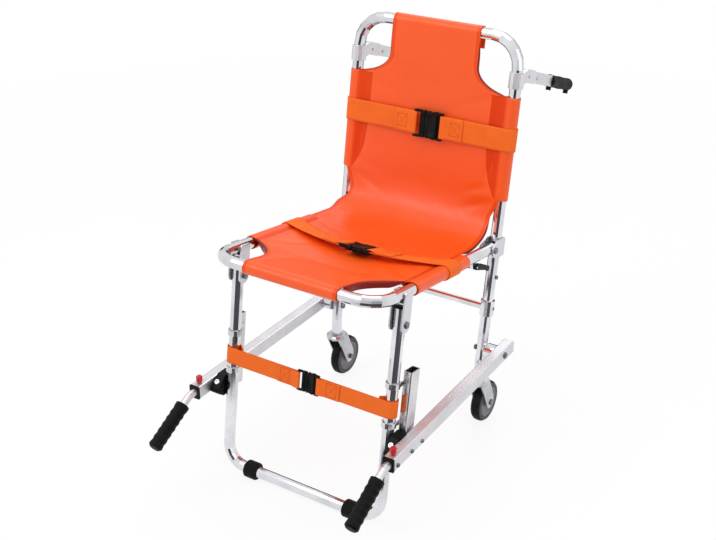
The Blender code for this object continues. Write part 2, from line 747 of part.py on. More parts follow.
def make_seat_frame():
    corners = [SEAT_PIVOT - AHEAD * SEAT_TAIL + SIDE * FRAME_HALF, SEAT_FRONT + SIDE * FRAME_HALF]
    frame = piece("seat_frame", u_tube(corners, [0, SEAT_BEND_R]), chrome)
    half_l = LATCH_BLOCK_L / 2
    top = WELD - TUBE_R
    view = rounded([(LATCH_AT - half_l, top, 0), (LATCH_AT + half_l, top, 0),
                    (LATCH_AT + LATCH_EYE_R, -LATCH_DROP - LATCH_EYE_R, 0),
                    (LATCH_AT - LATCH_EYE_R, -LATCH_DROP - LATCH_EYE_R, 0)],
                   [0, 0, LATCH_EYE_R - WELD, LATCH_EYE_R - WELD])
    pin = SIDE * (LATCH_W / 2 + LATCH_PIN_R)
    for at in (latch_at, mirrored(latch_at)):
        start = SEAT_PIVOT + SIDE * (at.x - LATCH_BLOCK_W / 2)
        carve(frame, prism(view, start, AHEAD, UP, SIDE * LATCH_BLOCK_W), "UNION")
        carve(frame, rod(at - pin, at + pin, LATCH_PIN_R), "UNION")
    drill(frame, SEAT_PIVOT, BOLT_R, reach=FRAME_HALF * 2)
    seat_in(frame, seat)


def make_leg_hinges():
    inner = TUBE_R + GAP
    outer = inner + SHEET_T
    half = HINGE_PLATE_W / 2
    low = (LEG_PIVOT - SEAT_PIVOT).dot(UP) - HINGE_PLATE_TAIL
    view = rounded([(HINGE_AT - half, low, 0), (HINGE_AT + half, low, 0),
                    (HINGE_AT + half, HINGE_PLATE_RISE, 0), (HINGE_AT - half, HINGE_PLATE_RISE, 0)],
                   [half - WELD, half - WELD, SHEET_CORNER_R, SHEET_CORNER_R], 4)
    start = SEAT_PIVOT + SIDE * (FRAME_HALF - outer)
    hinge = piece("leg_hinge", prism(view, start, AHEAD, UP, SIDE * (outer * 2)), satin)
    near = HINGE_AT - HINGE_PLATE_W
    far = HINGE_AT + HINGE_PLATE_W
    for under, over in ((low * 2, -inner - SHEET_T), (-inner, inner * 2)):
        room = [(near, under), (far, under), (far, over), (near, over)]
        carve(hinge, prism(room, SEAT_PIVOT + SIDE * (FRAME_HALF - inner), AHEAD, UP, SIDE * (inner * 2)))
    drill(hinge, LEG_PIVOT + SIDE * FRAME_HALF, BOLT_R)
    both_sides(hinge, "leg_hinge", [seat])
    bolt = piece("leg_pivot_bolt", through_bolt(LEG_PIVOT, FRAME_HALF - outer, FRAME_HALF + outer), steel)
    both_sides(bolt, "leg_pivot_bolt", [seat])


def make_leg_frame():
    head = LEG_PIVOT + UP * LEG_HEAD + SIDE * FRAME_HALF
    corners = [head, on_leg(FOOT_BAR_Z, FRAME_HALF)]
    frame = piece("leg_frame", u_tube(corners, [0, LEG_BEND_R]), chrome)
    drill(frame, LEG_PIVOT, BOLT_R, reach=FRAME_HALF * 2)
    seat_in(frame, legs)
    foot_r = FOOT_BAR_Z + FOOT_FLAT
    hole = bore(TUBE_R, TUBE_SIDES)
    half = FOOT_L / 2
    chamfer = (foot_r - hole) / 3
    profile = [(-half, hole), (-half, foot_r - chamfer), (chamfer - half, foot_r),
               (half - chamfer, foot_r), (half, foot_r - chamfer), (half, hole)]
    at = on_leg(FOOT_BAR_Z, FOOT_X)
    foot = piece("rubber_foot", revolve(profile, at, SIDE, TUBE_SIDES), grip_rubber)
    carve(foot, box((FOOT_X - FOOT_L, at.y - foot_r, -foot_r), (FOOT_X + FOOT_L, at.y + foot_r, 0)))
    both_sides(foot, "rubber_foot", [legs])


def make_braces():
    low = on_leg(BRACE_LOW_Z, BRACE_X) - AHEAD * (BRACE_BEHIND + BRACE_D / 2)
    length = (BRACE_TOP_Z - BRACE_LOW_Z) / math.cos(LEAN)
    brace = piece("leg_brace", square_tube(low, SIDE, AHEAD, BRACE_W, BRACE_D, BRACE_WALL, UP * length,
                                           RAIL_CORNER_R), satin)
    brace_in = BRACE_X - BRACE_W / 2
    brace_out = BRACE_X + BRACE_W / 2
    tip = RAIL_IN + RAIL_WALL - GAP
    collar = RAIL_IN - GAP
    profile = [(brace_in - BOLT_HEAD_H, 0), (brace_in - BOLT_HEAD_H, BOLT_HEAD_R),
               (brace_in + WELD, BOLT_HEAD_R), (brace_in + WELD, BOLT_R),
               (brace_out - WELD, BOLT_R), (brace_out - WELD, BOLT_HEAD_R),
               (collar, BOLT_HEAD_R), (collar, BOLT_R), (tip, BOLT_R), (tip, 0)]
    carve(brace, revolve(profile, Vector((0, BRACE_PIVOT.y, BRACE_PIVOT.z)), SIDE), "UNION")
    hole = bore(TUBE_R, TUBE_SIDES)
    tab_high = brace_in - FRAME_HALF + WELD
    tab_back = -BRACE_BEHIND - CLAMP_TAB_L
    tab_front = -TUBE_R / 2
    tab = [(tab_high - CLAMP_WALL, tab_back), (tab_high, tab_back), (tab_high, tab_front),
           (tab_high - CLAMP_WALL, tab_front)]
    for above in CLAMPS_ABOVE:
        at = on_leg(RAIL_Z + above, FRAME_HALF) - UP * (CLAMP_H / 2)
        carve(brace, prism(tab, at + UP * WELD, SIDE, AHEAD, UP * (CLAMP_H - 2 * WELD)), "UNION")
        carve(brace, rod(at, at + UP * CLAMP_H, hole + CLAMP_WALL, TUBE_SIDES), "UNION")
    carve(brace, rod(on_leg(BRACE_LOW_Z, FRAME_HALF), on_leg(BRACE_TOP_Z, FRAME_HALF), hole, TUBE_SIDES))
    both_sides(brace, "leg_brace", [legs])
    top = RAIL_Z + BLOCK_ABOVE
    base = RAIL_Z - BLOCK_BELOW
    back_low = on_leg(base).y + BRACE_BEHIND / math.cos(LEAN) - GAP * 2
    back_top = on_leg(top).y + BRACE_BEHIND / math.cos(LEAN) - GAP * 2
    nose = on_leg(RAIL_Z).y - BLOCK_REACH
    side = rounded([(back_low, base, 0), (back_top, top, 0), (on_leg(top).y - TUBE_R, top, 0),
                    (nose, RAIL_Z - BLOCK_NOSE_DROP, 0), (on_leg(base).y - TUBE_R, base, 0)],
                   [BLOCK_CORNER_R] * 2 + [BLOCK_NOSE_R] * 3)
    start = Vector((FRAME_HALF + TUBE_R + GAP, 0, 0))
    depth = SIDE * (RAIL_IN - GAP * 2 - start.x)
    block = piece("clamp_block", prism(side, start, REAR, TOP, depth), black)
    both_sides(block, "clamp_block", [legs])


def make_rails():
    start = Vector((RAIL_X, RAIL_MOUTH_Y, RAIL_Z))
    depth = REAR * (RAIL_TAIL_Y - RAIL_MOUTH_Y)
    rail = piece("rail", square_tube(start, SIDE, TOP, RAIL_W, RAIL_H, RAIL_WALL, depth, RAIL_CORNER_R),
                 satin)
    end = Vector((RAIL_X, RAIL_TAIL_Y - WELD, RAIL_Z))
    lid = prism(rectangle(RAIL_W, RAIL_H, RAIL_CORNER_R), end, SIDE, TOP, REAR * (RAIL_WALL + WELD))
    carve(rail, lid, "UNION")
    drill(rail, rail_at, BOLT_R)
    front = Vector((RAIL_IN, BRACE_PIVOT.y, BRACE_PIVOT.z))
    carve(rail, rod(front - SIDE * RAIL_WALL, front + SIDE * (RAIL_WALL * 2), bore(BOLT_R + PIN_PLAY)))
    carve(rail, rod(LOCK_AT - TOP * (RAIL_WALL * 2), LOCK_AT + TOP * RAIL_WALL, bore(LOCK_PIN_R)))
    both_sides(rail, "rail", rails)
    fit_w = RAIL_W - 2 * (RAIL_WALL + GAP)
    fit_h = RAIL_H - 2 * (RAIL_WALL + GAP)

    def stepped(levels):
        loops = []
        for y, width, height in levels:
            outline = rectangle(width, height, RAIL_CORNER_R / 2)
            loops.append([Vector((RAIL_X + p.x, y, RAIL_Z + p.y)) for p in outline])
        return loft(loops)

    lip = RAIL_MOUTH_Y - GAP
    bush = piece("rail_bush", stepped([(lip - BUSH_FLANGE, RAIL_W, RAIL_H), (lip, RAIL_W, RAIL_H),
                                       (lip, fit_w, fit_h), (lip + BUSH_L, fit_w, fit_h)]), black)
    carve(bush, rod(HANDLE_MOUTH - REAR * BUSH_L, HANDLE_MOUTH + REAR * (BUSH_L * 2),
                    bore(HANDLE_R, TUBE_SIDES), TUBE_SIDES))
    carve(bush, rod(LOCK_AT - TOP * (RAIL_H / 2), LOCK_AT + TOP * RAIL_WALL, bore(LOCK_PIN_R)))
    both_sides(bush, "rail_bush", rails)


def make_front_handles():
    inside = HANDLE_MOUTH + REAR * HANDLE_INSIDE_L
    elbow = HANDLE_MOUTH - REAR * HANDLE_BEND_OUT
    tip = elbow + GRIP_DIR * (GRIP_START + GRIP_L - GRIP_BLIND)
    path = rounded([inside, elbow, tip], [0, HANDLE_BEND_R, 0], 4, closed=False)
    handle = piece("front_handle", tube(path, HANDLE_R, HANDLE_WALL), satin)
    collar_r = RAIL_W / 2 - RAIL_WALL - GAP
    hole = HANDLE_R - HANDLE_WALL / 2
    profile = [(0, hole), (0, collar_r), (HANDLE_COLLAR_L, collar_r), (HANDLE_COLLAR_L, hole)]
    carve(handle, revolve(profile, inside, -REAR, TUBE_SIDES), "UNION")
    both_sides(handle, "front_handle", front_handles)
    start = elbow + GRIP_DIR * GRIP_START
    hole = bore(HANDLE_R, TUBE_SIDES)
    deep = GRIP_L - GRIP_BLIND + GAP
    profile = [(deep, 0), (deep, hole), (0, hole), (0, GRIP_R)]
    pitch = (GRIP_L - 2 * GRIP_RIM) / GRIP_GROOVES
    for k in range(GRIP_GROOVES):
        at = GRIP_RIM + pitch * k
        profile += [(at, GRIP_R), (at + pitch / 2, GRIP_R - GROOVE_DEPTH)]
    profile += [(GRIP_L - GRIP_RIM, GRIP_R), (GRIP_L - GRIP_CHAMFER, GRIP_R),
                (GRIP_L, GRIP_R - GRIP_CHAMFER), (GRIP_L, 0)]
    grip = piece("front_grip", revolve(profile, start, GRIP_DIR, TUBE_SIDES), grip_rubber)
    both_sides(grip, "front_grip", front_handles)
    tip_z = HANDLE_R + GAP - RAIL_H / 2
    knob_top = LOCK_KNOB_LIFT + LOCK_KNOB_H
    profile = [(tip_z, 0), (tip_z, LOCK_PIN_R), (LOCK_KNOB_LIFT, LOCK_PIN_R), (LOCK_KNOB_LIFT, LOCK_KNOB_R),
               (knob_top - LOCK_KNOB_CHAMFER, LOCK_KNOB_R), (knob_top, LOCK_KNOB_R - LOCK_KNOB_CHAMFER),
               (knob_top, 0)]
    pin = piece("lock_pin", revolve(profile, LOCK_AT, TOP), red)
    both_sides(pin, "lock_pin", lock_pins)


def make_rear_handles():
    hole = bore(TUBE_R, TUBE_SIDES)
    at = on_post(REAR_CLAMP_Z, FRAME_HALF)
    half = UP * (REAR_CLAMP_H / 2)
    clamp = piece("handle_clamp", rod(at - half, at + half, hole + REAR_CLAMP_WALL, TUBE_SIDES), satin)
    reach = (at - REAR_PIVOT_AT).dot(REAR_ALONG)
    base = (at - REAR_PIVOT_AT).dot(REAR_ACROSS)
    root_h = REAR_CLAMP_H / 2 - WELD * 2
    ear_h = REAR_EAR_H / 2
    ear = rounded([(reach, base - root_h, 0), (-ear_h, -ear_h, 0), (REAR_EAR_L, -ear_h, 0),
                   (REAR_EAR_L, ear_h, 0), (-ear_h, ear_h, 0), (reach, base + root_h, 0)],
                  [0, ear_h * 0.4, ear_h * 0.7, ear_h * 0.7, ear_h * 0.4, 0], 3)
    arm_half = REAR_ARM_W / 2
    for start in (arm_half + GAP, -arm_half - GAP - SHEET_T):
        carve(clamp, prism(ear, REAR_PIVOT_AT + SIDE * start, REAR_ALONG, REAR_ACROSS, SIDE * SHEET_T),
              "UNION")
    carve(clamp, rod(at - half * 2, at + half * 2, hole, TUBE_SIDES))
    rivet = SIDE * (arm_half + GAP + SHEET_T + RIVET_HEAD_H)
    carve(clamp, rod(REAR_PIVOT_AT - rivet, REAR_PIVOT_AT + rivet, BOLT_R), "UNION")
    both_sides(clamp, "handle_clamp", [chair])
    high = REAR_ARM_H / 2
    arm_view = rounded([(-high, -high, 0), (REAR_ARM_L, -high, 0), (REAR_ARM_L, high, 0), (-high, high, 0)],
                       [high - WELD, 0, 0, high - WELD], 4)
    start = REAR_PIVOT_AT - SIDE * arm_half
    arm = piece("rear_handle", prism(arm_view, start, REAR_ALONG, REAR_ACROSS, SIDE * REAR_ARM_W), satin)
    tang = REAR_PIVOT_AT + REAR_ALONG * (REAR_ARM_L - REAR_TANG_R)
    carve(arm, rod(tang, REAR_PIVOT_AT + REAR_ALONG * (REAR_ARM_L + REAR_TANG_L), REAR_TANG_R), "UNION")
    stud = REAR_PIVOT_AT + REAR_ALONG * REAR_STUD_AT
    stud_half = SIDE * (arm_half + REAR_STUD_H)
    carve(arm, rod(stud - stud_half, stud + stud_half, REAR_STUD_R), "UNION")
    drill(arm, REAR_PIVOT_AT, BOLT_R)
    both_sides(arm, "rear_handle", rear_handles)
    hole = bore(REAR_TANG_R)
    deep = REAR_TANG_L + GAP
    r = REAR_GRIP_R
    waist = r * REAR_GRIP_WAIST
    swell = REAR_GRIP_L / 2
    profile = [(deep, 0), (deep, hole), (GAP, hole), (GAP, r), (GUARD_INSET, r),
               ((GUARD_INSET + swell) / 2, waist), (swell, r), (swell * 3 / 2 - GUARD_INSET / 2, waist),
               (REAR_GRIP_L - GUARD_INSET, r), (REAR_GRIP_L, r - GRIP_CHAMFER), (REAR_GRIP_L, 0)]
    butt = REAR_PIVOT_AT + REAR_ALONG * REAR_ARM_L
    grip = piece("rear_grip", revolve(profile, butt, REAR_ALONG, TUBE_SIDES), grip_rubber)
    for along in (GUARD_INSET, REAR_GRIP_L - GUARD_INSET):
        foot = butt + REAR_ALONG * along - REAR_ACROSS * (r - GRIP_CHAMFER)
        tip = butt + REAR_ALONG * along - REAR_ACROSS * GUARD_REACH
        carve(grip, rod(foot, tip, GUARD_PEG_R), "UNION")
    both_sides(grip, "rear_grip", rear_handles)


def make_casters():
    stem_r = (TUBE_R - TUBE_WALL) * math.cos(math.pi / TUBE_SIDES) - GAP
    race_top = -GAP
    race_low = race_top - RACE_H
    profile = [(STEM_L, 0), (STEM_L, stem_r), (race_top, stem_r), (race_top, RACE_R - RACE_CHAMFER),
               (race_top - RACE_CHAMFER, RACE_R), (race_low + RACE_CHAMFER, RACE_R),
               (race_low, RACE_R - RACE_CHAMFER), (race_low, 0)]
    fork = piece("caster_fork", revolve(profile, CASTER_AT, TOP, TUBE_SIDES), zinc)
    eye = AXLE_AT - CASTER_AT
    crown = race_low + RACE_H / 2
    eye_round = FORK_EYE_R - WELD
    side = rounded([(-FORK_ROOT, crown, 0), (eye.y - FORK_EYE_R, eye.z - FORK_EYE_R, 0),
                    (eye.y + FORK_EYE_R, eye.z - FORK_EYE_R, 0), (eye.y + FORK_EYE_R, eye.z + FORK_EYE_R, 0),
                    (FORK_ROOT, crown, 0)], [0, eye_round, eye_round, eye_round, 0], 4)
    cheek = WHEEL_W / 2 + FORK_SIDE_GAP
    for start in (cheek, -cheek - FORK_T):
        carve(fork, prism(side, CASTER_AT + SIDE * start, REAR, TOP, SIDE * FORK_T), "UNION")
    drill(fork, AXLE_AT, AXLE_R)
    both_sides(fork, "caster_fork", casters)
    fork_out = cheek + FORK_T
    axle = piece("caster_axle", through_bolt(AXLE_AT, FRAME_HALF - fork_out, FRAME_HALF + fork_out), steel)
    both_sides(axle, "caster_axle", casters)
    half = WHEEL_W / 2
    rim_r = WHEEL_R - TYRE_DEPTH
    shoulder = WHEEL_R - TREAD_ROUND
    crown = WHEEL_R - TREAD_ROUND / 5
    profile = [(-half, rim_r), (-half, shoulder), (TREAD_ROUND - half, crown), (0, WHEEL_R),
               (half - TREAD_ROUND, crown), (half, shoulder), (half, rim_r)]
    tyre = piece("tyre", revolve(profile, AXLE_AT, SIDE, WHEEL_SIDES, REAR), tread)
    both_sides(tyre, "tyre", wheels)
    seat_r = rim_r * math.cos(math.pi / WHEEL_SIDES) - GAP
    hole = bore(AXLE_R)
    boss = half + FORK_SIDE_GAP - GAP * 2
    web = HUB_WEB_T / 2
    root_r = HUB_BOSS_R + WELD
    rim_in = seat_r - HUB_RIM_T
    profile = [(-boss, hole), (-boss, HUB_BOSS_R), (-web, root_r), (-web, rim_in), (-half, seat_r),
               (half, seat_r), (web, rim_in), (web, root_r), (boss, HUB_BOSS_R), (boss, hole)]
    hub = piece("wheel_hub", revolve(profile, AXLE_AT, SIDE, WHEEL_SIDES, REAR), hub_grey)
    both_sides(hub, "wheel_hub", wheels)


def make_latches():
    at = SEAT_PIVOT + SIDE * FRAME_HALF
    eye_r = LATCH_EYE_R - WELD / 2
    low = -LATCH_DROP - LATCH_EYE_R
    high = eye_r - LATCH_DROP
    front = LATCH_AT + LATCH_EYE_R
    tip = LATCH_AT - LATCH_TIP_BACK
    view = rounded([(front, high, 0), (front, low, 0), (LATCH_AT - LATCH_KNEE_BACK, low - LATCH_KNEE_DROP, 0),
                    (tip, low - LATCH_TIP_DROP, 0), (tip, low - LATCH_TIP_DROP + LATCH_TIP_T, 0),
                    (LATCH_AT - LATCH_HEAD_L, high, 0)],
                   [eye_r - WELD / 2] * 2 + [LATCH_CORNER_R] * 4)
    start = at - SIDE * (LATCH_W / 2)
    lever = piece("fold_latch", prism(view, start, AHEAD, UP, SIDE * LATCH_W), black)
    slot_w = LATCH_BLOCK_W / 2 + GAP
    slot_l = LATCH_BLOCK_L / 2 + GAP * 3
    floor = low - LATCH_EYE_R / 2
    slot = [(LATCH_AT - slot_l, floor), (LATCH_AT + slot_l, floor), (LATCH_AT + slot_l, 0),
            (LATCH_AT - slot_l, 0)]
    carve(lever, prism(slot, at - SIDE * slot_w, AHEAD, UP, SIDE * (slot_w * 2)))
    drill(lever, latch_at, LATCH_PIN_R)
    both_sides(lever, "fold_latch", latches)


def make_sling():
    rows = wrap_rows(on_post(TOP_Z), AHEAD, -UP, SLING_TOP_HALF)
    flare_top = TOP_CUT_Z + TOP_CUT_FLARE
    for half, down in cut_flare(SLING_TOP_HALF, TOP_CUT_FLARE)[:-1]:
        edge = on_post(flare_top - down) + AHEAD * SLEEVE_R
        share = (TOP_Z - flare_top + down) / (TOP_Z - TOP_CUT_Z)
        rows.append(sling_row(edge, edge - AHEAD * (BACK_SAG * share), half))
    steps = 4
    for k in range(steps + 1):
        centre = on_post(TOP_CUT_Z + (BACK_SLEEVE_END_Z - TOP_CUT_Z) * k / steps)
        edge = centre + AHEAD * SLEEVE_R
        rows.append(sling_row(edge, edge - AHEAD * BACK_SAG, FRAME_HALF, (centre, AHEAD)))
    high = on_post(BACK_SLEEVE_END_Z) + AHEAD * SLEEVE_R
    low = SEAT_PIVOT + AHEAD * SEAT_SPLIT_AT + UP * SLEEVE_R
    knee = SEAT_PIVOT + AHEAD * HAMMOCK_EDGE_PULL[0] + UP * HAMMOCK_EDGE_PULL[1]
    knee_mid = SEAT_PIVOT + AHEAD * HAMMOCK_MID_PULL[0] + UP * HAMMOCK_MID_PULL[1]
    high_mid = high - AHEAD * BACK_SAG
    low_mid = low - UP * SEAT_SAG

    def swing(a, b, c, t):
        return a * (1 - t) ** 2 + b * (2 * t * (1 - t)) + c * t ** 2

    steps = 9
    for k in range(1, steps + 1):
        t = k / steps
        half = FRAME_HALF - HAMMOCK_EDGE_IN * min(1.0, t / HAMMOCK_IN_BY)
        rows.append(sling_row(swing(high, knee, low, t), swing(high_mid, knee_mid, low_mid, t), half))
    back = cloth("sling_back", rows, orange, CLOTH_T)
    seat_in(back, chair)
    rows = wrap_rows(SEAT_FRONT, UP, -AHEAD, SLING_FRONT_HALF)
    flare_end = SEAT_SLEEVE_END_AT + FRONT_CUT_FLARE
    for half, on in cut_flare(SLING_FRONT_HALF, FRONT_CUT_FLARE)[:-1]:
        along = flare_end - on
        edge = SEAT_PIVOT + AHEAD * along + UP * SLEEVE_R
        share = (SEAT_DEPTH - along) / (SEAT_DEPTH - SEAT_SLEEVE_END_AT)
        rows.append(sling_row(edge, edge - UP * (SEAT_SAG * share), half))
    steps = 4
    first = SEAT_SPLIT_AT + GAP * 2
    for k in range(steps + 1):
        along = SEAT_SLEEVE_END_AT + (first - SEAT_SLEEVE_END_AT) * k / steps
        centre = SEAT_PIVOT + AHEAD * along
        edge = centre + UP * SLEEVE_R
        rows.append(sling_row(edge, edge - UP * SEAT_SAG, FRAME_HALF, (centre, UP)))
    cushion = cloth("sling_seat", rows, orange, CLOTH_T)
    seat_in(cushion, seat)


def make_straps():
    half_l = (BUCKLE_PLUG_L + BUCKLE_SOCKET_L) / 2
    for side, sign in (("_right", 1), ("_left", -1)):
        stop = BUCKLE_X + sign * (half_l + GAP)
        at = on_post(CHEST_STRAP_Z, FRAME_HALF)
        chest = strap("chest_strap" + side, sign, at, AHEAD, UP, STRAP_OVER_R, STRAP_W, stop)
        seat_in(chest, chair)
        at = SEAT_PIVOT + AHEAD * LAP_STRAP_AT + SIDE * FRAME_HALF
        lap = strap("lap_strap" + side, sign, at, UP, AHEAD, STRAP_OVER_R, STRAP_W, stop,
                    LAP_STRAP_BOW, LAP_STRAP_DIP)
        seat_in(lap, seat)
        stop = BUCKLE_X + sign * (half_l * BUCKLE_SCALE_LEG + GAP)
        at = on_leg(LEG_STRAP_Z, FRAME_HALF)
        leg = strap("leg_strap" + side, sign, at, AHEAD, UP, LEG_STRAP_R, LEG_STRAP_W, stop)
        seat_in(leg, legs)
    middle = on_post(CHEST_STRAP_Z, BUCKLE_X) + AHEAD * STRAP_OVER_R
    buckle(middle, AHEAD, UP, 1.0, STRAP_W, "chest", black, chair)
    middle = (SEAT_PIVOT + AHEAD * (LAP_STRAP_AT + LAP_STRAP_BOW) + SIDE * BUCKLE_X
              + UP * (STRAP_OVER_R - LAP_STRAP_DIP))
    buckle(middle, UP, AHEAD, 1.0, STRAP_W, "lap", black, seat)
    middle = on_leg(LEG_STRAP_Z, BUCKLE_X) + AHEAD * LEG_STRAP_R
    buckle(middle, AHEAD, UP, BUCKLE_SCALE_LEG, LEG_STRAP_W, "leg", black, legs)


make_back_frame()
make_back_bar()
make_seat_brackets()
make_seat_frame()
make_leg_hinges()
make_leg_frame()
make_braces()
make_rails()
make_front_handles()
make_rear_handles()
make_casters()
make_latches()
make_sling()
make_straps()
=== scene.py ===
import json
import math
import bpy
import numpy as np
from mathutils import Matrix


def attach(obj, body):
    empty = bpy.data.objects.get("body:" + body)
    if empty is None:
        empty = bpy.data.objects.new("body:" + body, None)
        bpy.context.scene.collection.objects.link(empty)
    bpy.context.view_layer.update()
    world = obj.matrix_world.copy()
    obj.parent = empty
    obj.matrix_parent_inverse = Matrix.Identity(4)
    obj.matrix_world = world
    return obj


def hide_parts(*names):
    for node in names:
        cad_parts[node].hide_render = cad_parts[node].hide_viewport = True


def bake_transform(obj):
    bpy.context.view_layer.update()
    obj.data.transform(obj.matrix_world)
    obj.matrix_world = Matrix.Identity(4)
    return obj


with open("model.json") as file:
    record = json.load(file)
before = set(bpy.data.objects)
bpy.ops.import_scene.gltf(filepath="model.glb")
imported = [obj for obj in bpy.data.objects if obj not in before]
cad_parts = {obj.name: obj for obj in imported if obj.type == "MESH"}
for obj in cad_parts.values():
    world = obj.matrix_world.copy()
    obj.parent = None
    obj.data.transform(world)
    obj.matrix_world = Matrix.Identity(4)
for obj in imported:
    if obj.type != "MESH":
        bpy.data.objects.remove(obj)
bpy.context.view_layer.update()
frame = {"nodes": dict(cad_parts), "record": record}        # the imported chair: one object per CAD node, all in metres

print("frame loaded:", len(frame["nodes"]), "nodes")


# small helpers for points, meshes and nodes

def vec(*values):
    return np.array(values, float)


def unit(a):
    return a / np.linalg.norm(a, axis=-1, keepdims=True)


def tint(r, g, b):
    # screen colour 0-255 to the linear colour a shader takes
    c = np.array([r, g, b]) / 255
    return tuple(np.where(c <= 0.04045, c / 12.92, ((c + 0.055) / 1.055) ** 2.4))


def easeStep(low, high, x):
    # 0 before low, 1 after high, smooth between
    t = np.clip((x - low) / (high - low), 0, 1)
    return t * t * (3 - 2 * t)


def gridQuads(rows, cols, wrapRows=False, wrapCols=False):
    # one quad between each point, the next in its row and the two below them
    r = np.arange(rows if wrapRows else rows - 1)[:, None]
    c = np.arange(cols if wrapCols else cols - 1)[None, :]
    r2, c2 = (r + 1) % rows, (c + 1) % cols
    return np.stack([r * cols + c, r * cols + c2, r2 * cols + c2, r2 * cols + c], -1).reshape(-1, 4)


def putPiece(name, points, faces, finish, uv=None, sharpAngle=40):
    # an object at the origin with its place in its mesh, smooth except at edges past the angle
    points = np.asarray(points, float).reshape(-1, 3)
    mesh = bpy.data.meshes.new(name)
    mesh.from_pydata(points.tolist(), [], [list(map(int, face)) for face in faces])
    if uv is not None:
        corner = np.empty(len(mesh.loops), int)
        mesh.loops.foreach_get("vertex_index", corner)
        layer = mesh.uv_layers.new(name="UVMap")
        layer.data.foreach_set("uv", uv.reshape(-1, 2)[corner].astype(np.float32).ravel())
    mesh.materials.append(finish)
    mesh.shade_smooth()
    mesh.set_sharp_from_angle(angle=math.radians(sharpAngle))
    piece = bpy.data.objects.new(name, mesh)
    bpy.context.scene.collection.objects.link(piece)
    return piece


def ringShape(rings):
    # closed skin through rings of equal count, each end shut by one flat face
    rings = np.asarray(rings, float)
    count, sides = rings.shape[:2]
    faces = gridQuads(count, sides, wrapCols=True).tolist()
    faces.append(list(range(sides))[::-1])
    faces.append(list(range((count - 1) * sides, count * sides)))
    return rings.reshape(-1, 3), faces


def turned(profile, centre, axis, sides=32):
    # profile of (distance along the axis, radius) turned about the axis
    axis = unit(np.asarray(axis, float))
    start = vec(1, 0, 0) if abs(axis[0]) < 0.9 else vec(0, 0, 1)
    u = unit(start - axis * start.dot(axis))
    w = np.cross(axis, u)
    t = np.arange(sides) * 2 * math.pi / sides
    around = np.cos(t)[:, None] * u + np.sin(t)[:, None] * w
    profile = np.asarray(profile, float)
    rings = np.asarray(centre, float) + profile[:, None, :1] * axis + profile[:, None, 1:] * around
    return ringShape(rings)


def joined(shapes):
    # several closed skins as one list of points and faces
    points, faces, base = [], [], 0
    for more, moreFaces in shapes:
        points.append(more)
        faces += [[int(k) + base for k in face] for face in moreFaces]
        base += len(more)
    return np.concatenate(points), faces


def startFinish(name, colour, roughness, metallic=0.0):
    finish = bpy.data.materials.new(name)
    finish.use_nodes = True
    shader = finish.node_tree.nodes["Principled BSDF"]
    shader.inputs["Base Color"].default_value = (*colour, 1)
    shader.inputs["Roughness"].default_value = roughness
    shader.inputs["Metallic"].default_value = metallic
    return finish, finish.node_tree, shader


def addNode(tree, kind, inputs=None, **settings):
    node = tree.nodes.new(kind)
    for key, value in settings.items():
        setattr(node, key, value)
    for key, value in (inputs or {}).items():
        if isinstance(value, bpy.types.NodeSocket):
            tree.links.new(value, node.inputs[key])
        else:
            node.inputs[key].default_value = value
    return node


def placed(tree, stretch=(1, 1, 1)):
    # object coordinates, stretched for grain that runs one way
    where = addNode(tree, "ShaderNodeTexCoord")
    return addNode(tree, "ShaderNodeMapping", {"Vector": where.outputs["Object"], "Scale": stretch}).outputs[0]


def cloud(tree, where, scale, detail=3.0, rough=0.55):
    # soft noise, scale to the metre
    node = addNode(tree, "ShaderNodeTexNoise", {"Vector": where, "Scale": scale, "Detail": detail,
                                                "Roughness": rough})
    return node.outputs["Fac"]


def span(tree, value, low, high, toLow, toHigh):
    # one range of values laid onto another and held at its ends
    node = addNode(tree, "ShaderNodeMapRange", {"Value": value, "From Min": low, "From Max": high,
                                                "To Min": toLow, "To Max": toHigh})
    return node.outputs["Result"]


def blendColour(tree, factor, low, high):
    # low where the factor is 0, high where it is 1
    node = addNode(tree, "ShaderNodeMix", {"Factor": factor}, data_type="RGBA")
    for socket, value in ((node.inputs[6], low), (node.inputs[7], high)):
        if isinstance(value, bpy.types.NodeSocket):
            tree.links.new(value, socket)
        else:
            socket.default_value = (*value, 1)
    return node.outputs[2]


def maths(tree, operation, first, second=0.0):
    return addNode(tree, "ShaderNodeMath", {0: first, 1: second}, operation=operation).outputs[0]


def relief(tree, height, strength, distance, under=None):
    # bump from a height, on top of another bump where one is given
    inputs = {"Height": height, "Strength": strength, "Distance": distance}
    if under is not None:
        inputs["Normal"] = under
    return addNode(tree, "ShaderNodeBump", inputs).outputs["Normal"]


def painted(tree, name):
    # a value held by the mesh's points
    return addNode(tree, "ShaderNodeAttribute", attribute_name=name).outputs["Fac"]


# finishes of the metal, plastic and rubber pieces

grainDeep = 0.0002      # metres that a full step of fine grain stands for


def polishedTube():
    # smudges change the colour and the gloss; fine draw marks run along the posts
    look = dict(bright=tint(230, 230, 234), dull=tint(200, 201, 206), plain=0.15, rough=(0.06, 0.16), smudge=14,
                draw=900, drawAlong=(1, 1, 0.04), drawDepth=0.05)
    finish, tree, shader = startFinish("polishedTube", look["bright"], look["plain"], 1.0)
    smudge = cloud(tree, placed(tree), look["smudge"], 4)
    drawn = cloud(tree, placed(tree, look["drawAlong"]), look["draw"], 2)
    tree.links.new(blendColour(tree, span(tree, smudge, 0.35, 0.7, 0, 1), look["bright"], look["dull"]),
                   shader.inputs["Base Color"])
    tree.links.new(span(tree, smudge, 0.3, 0.75, *look["rough"]), shader.inputs["Roughness"])
    tree.links.new(relief(tree, drawn, look["drawDepth"], grainDeep), shader.inputs["Normal"])
    return finish


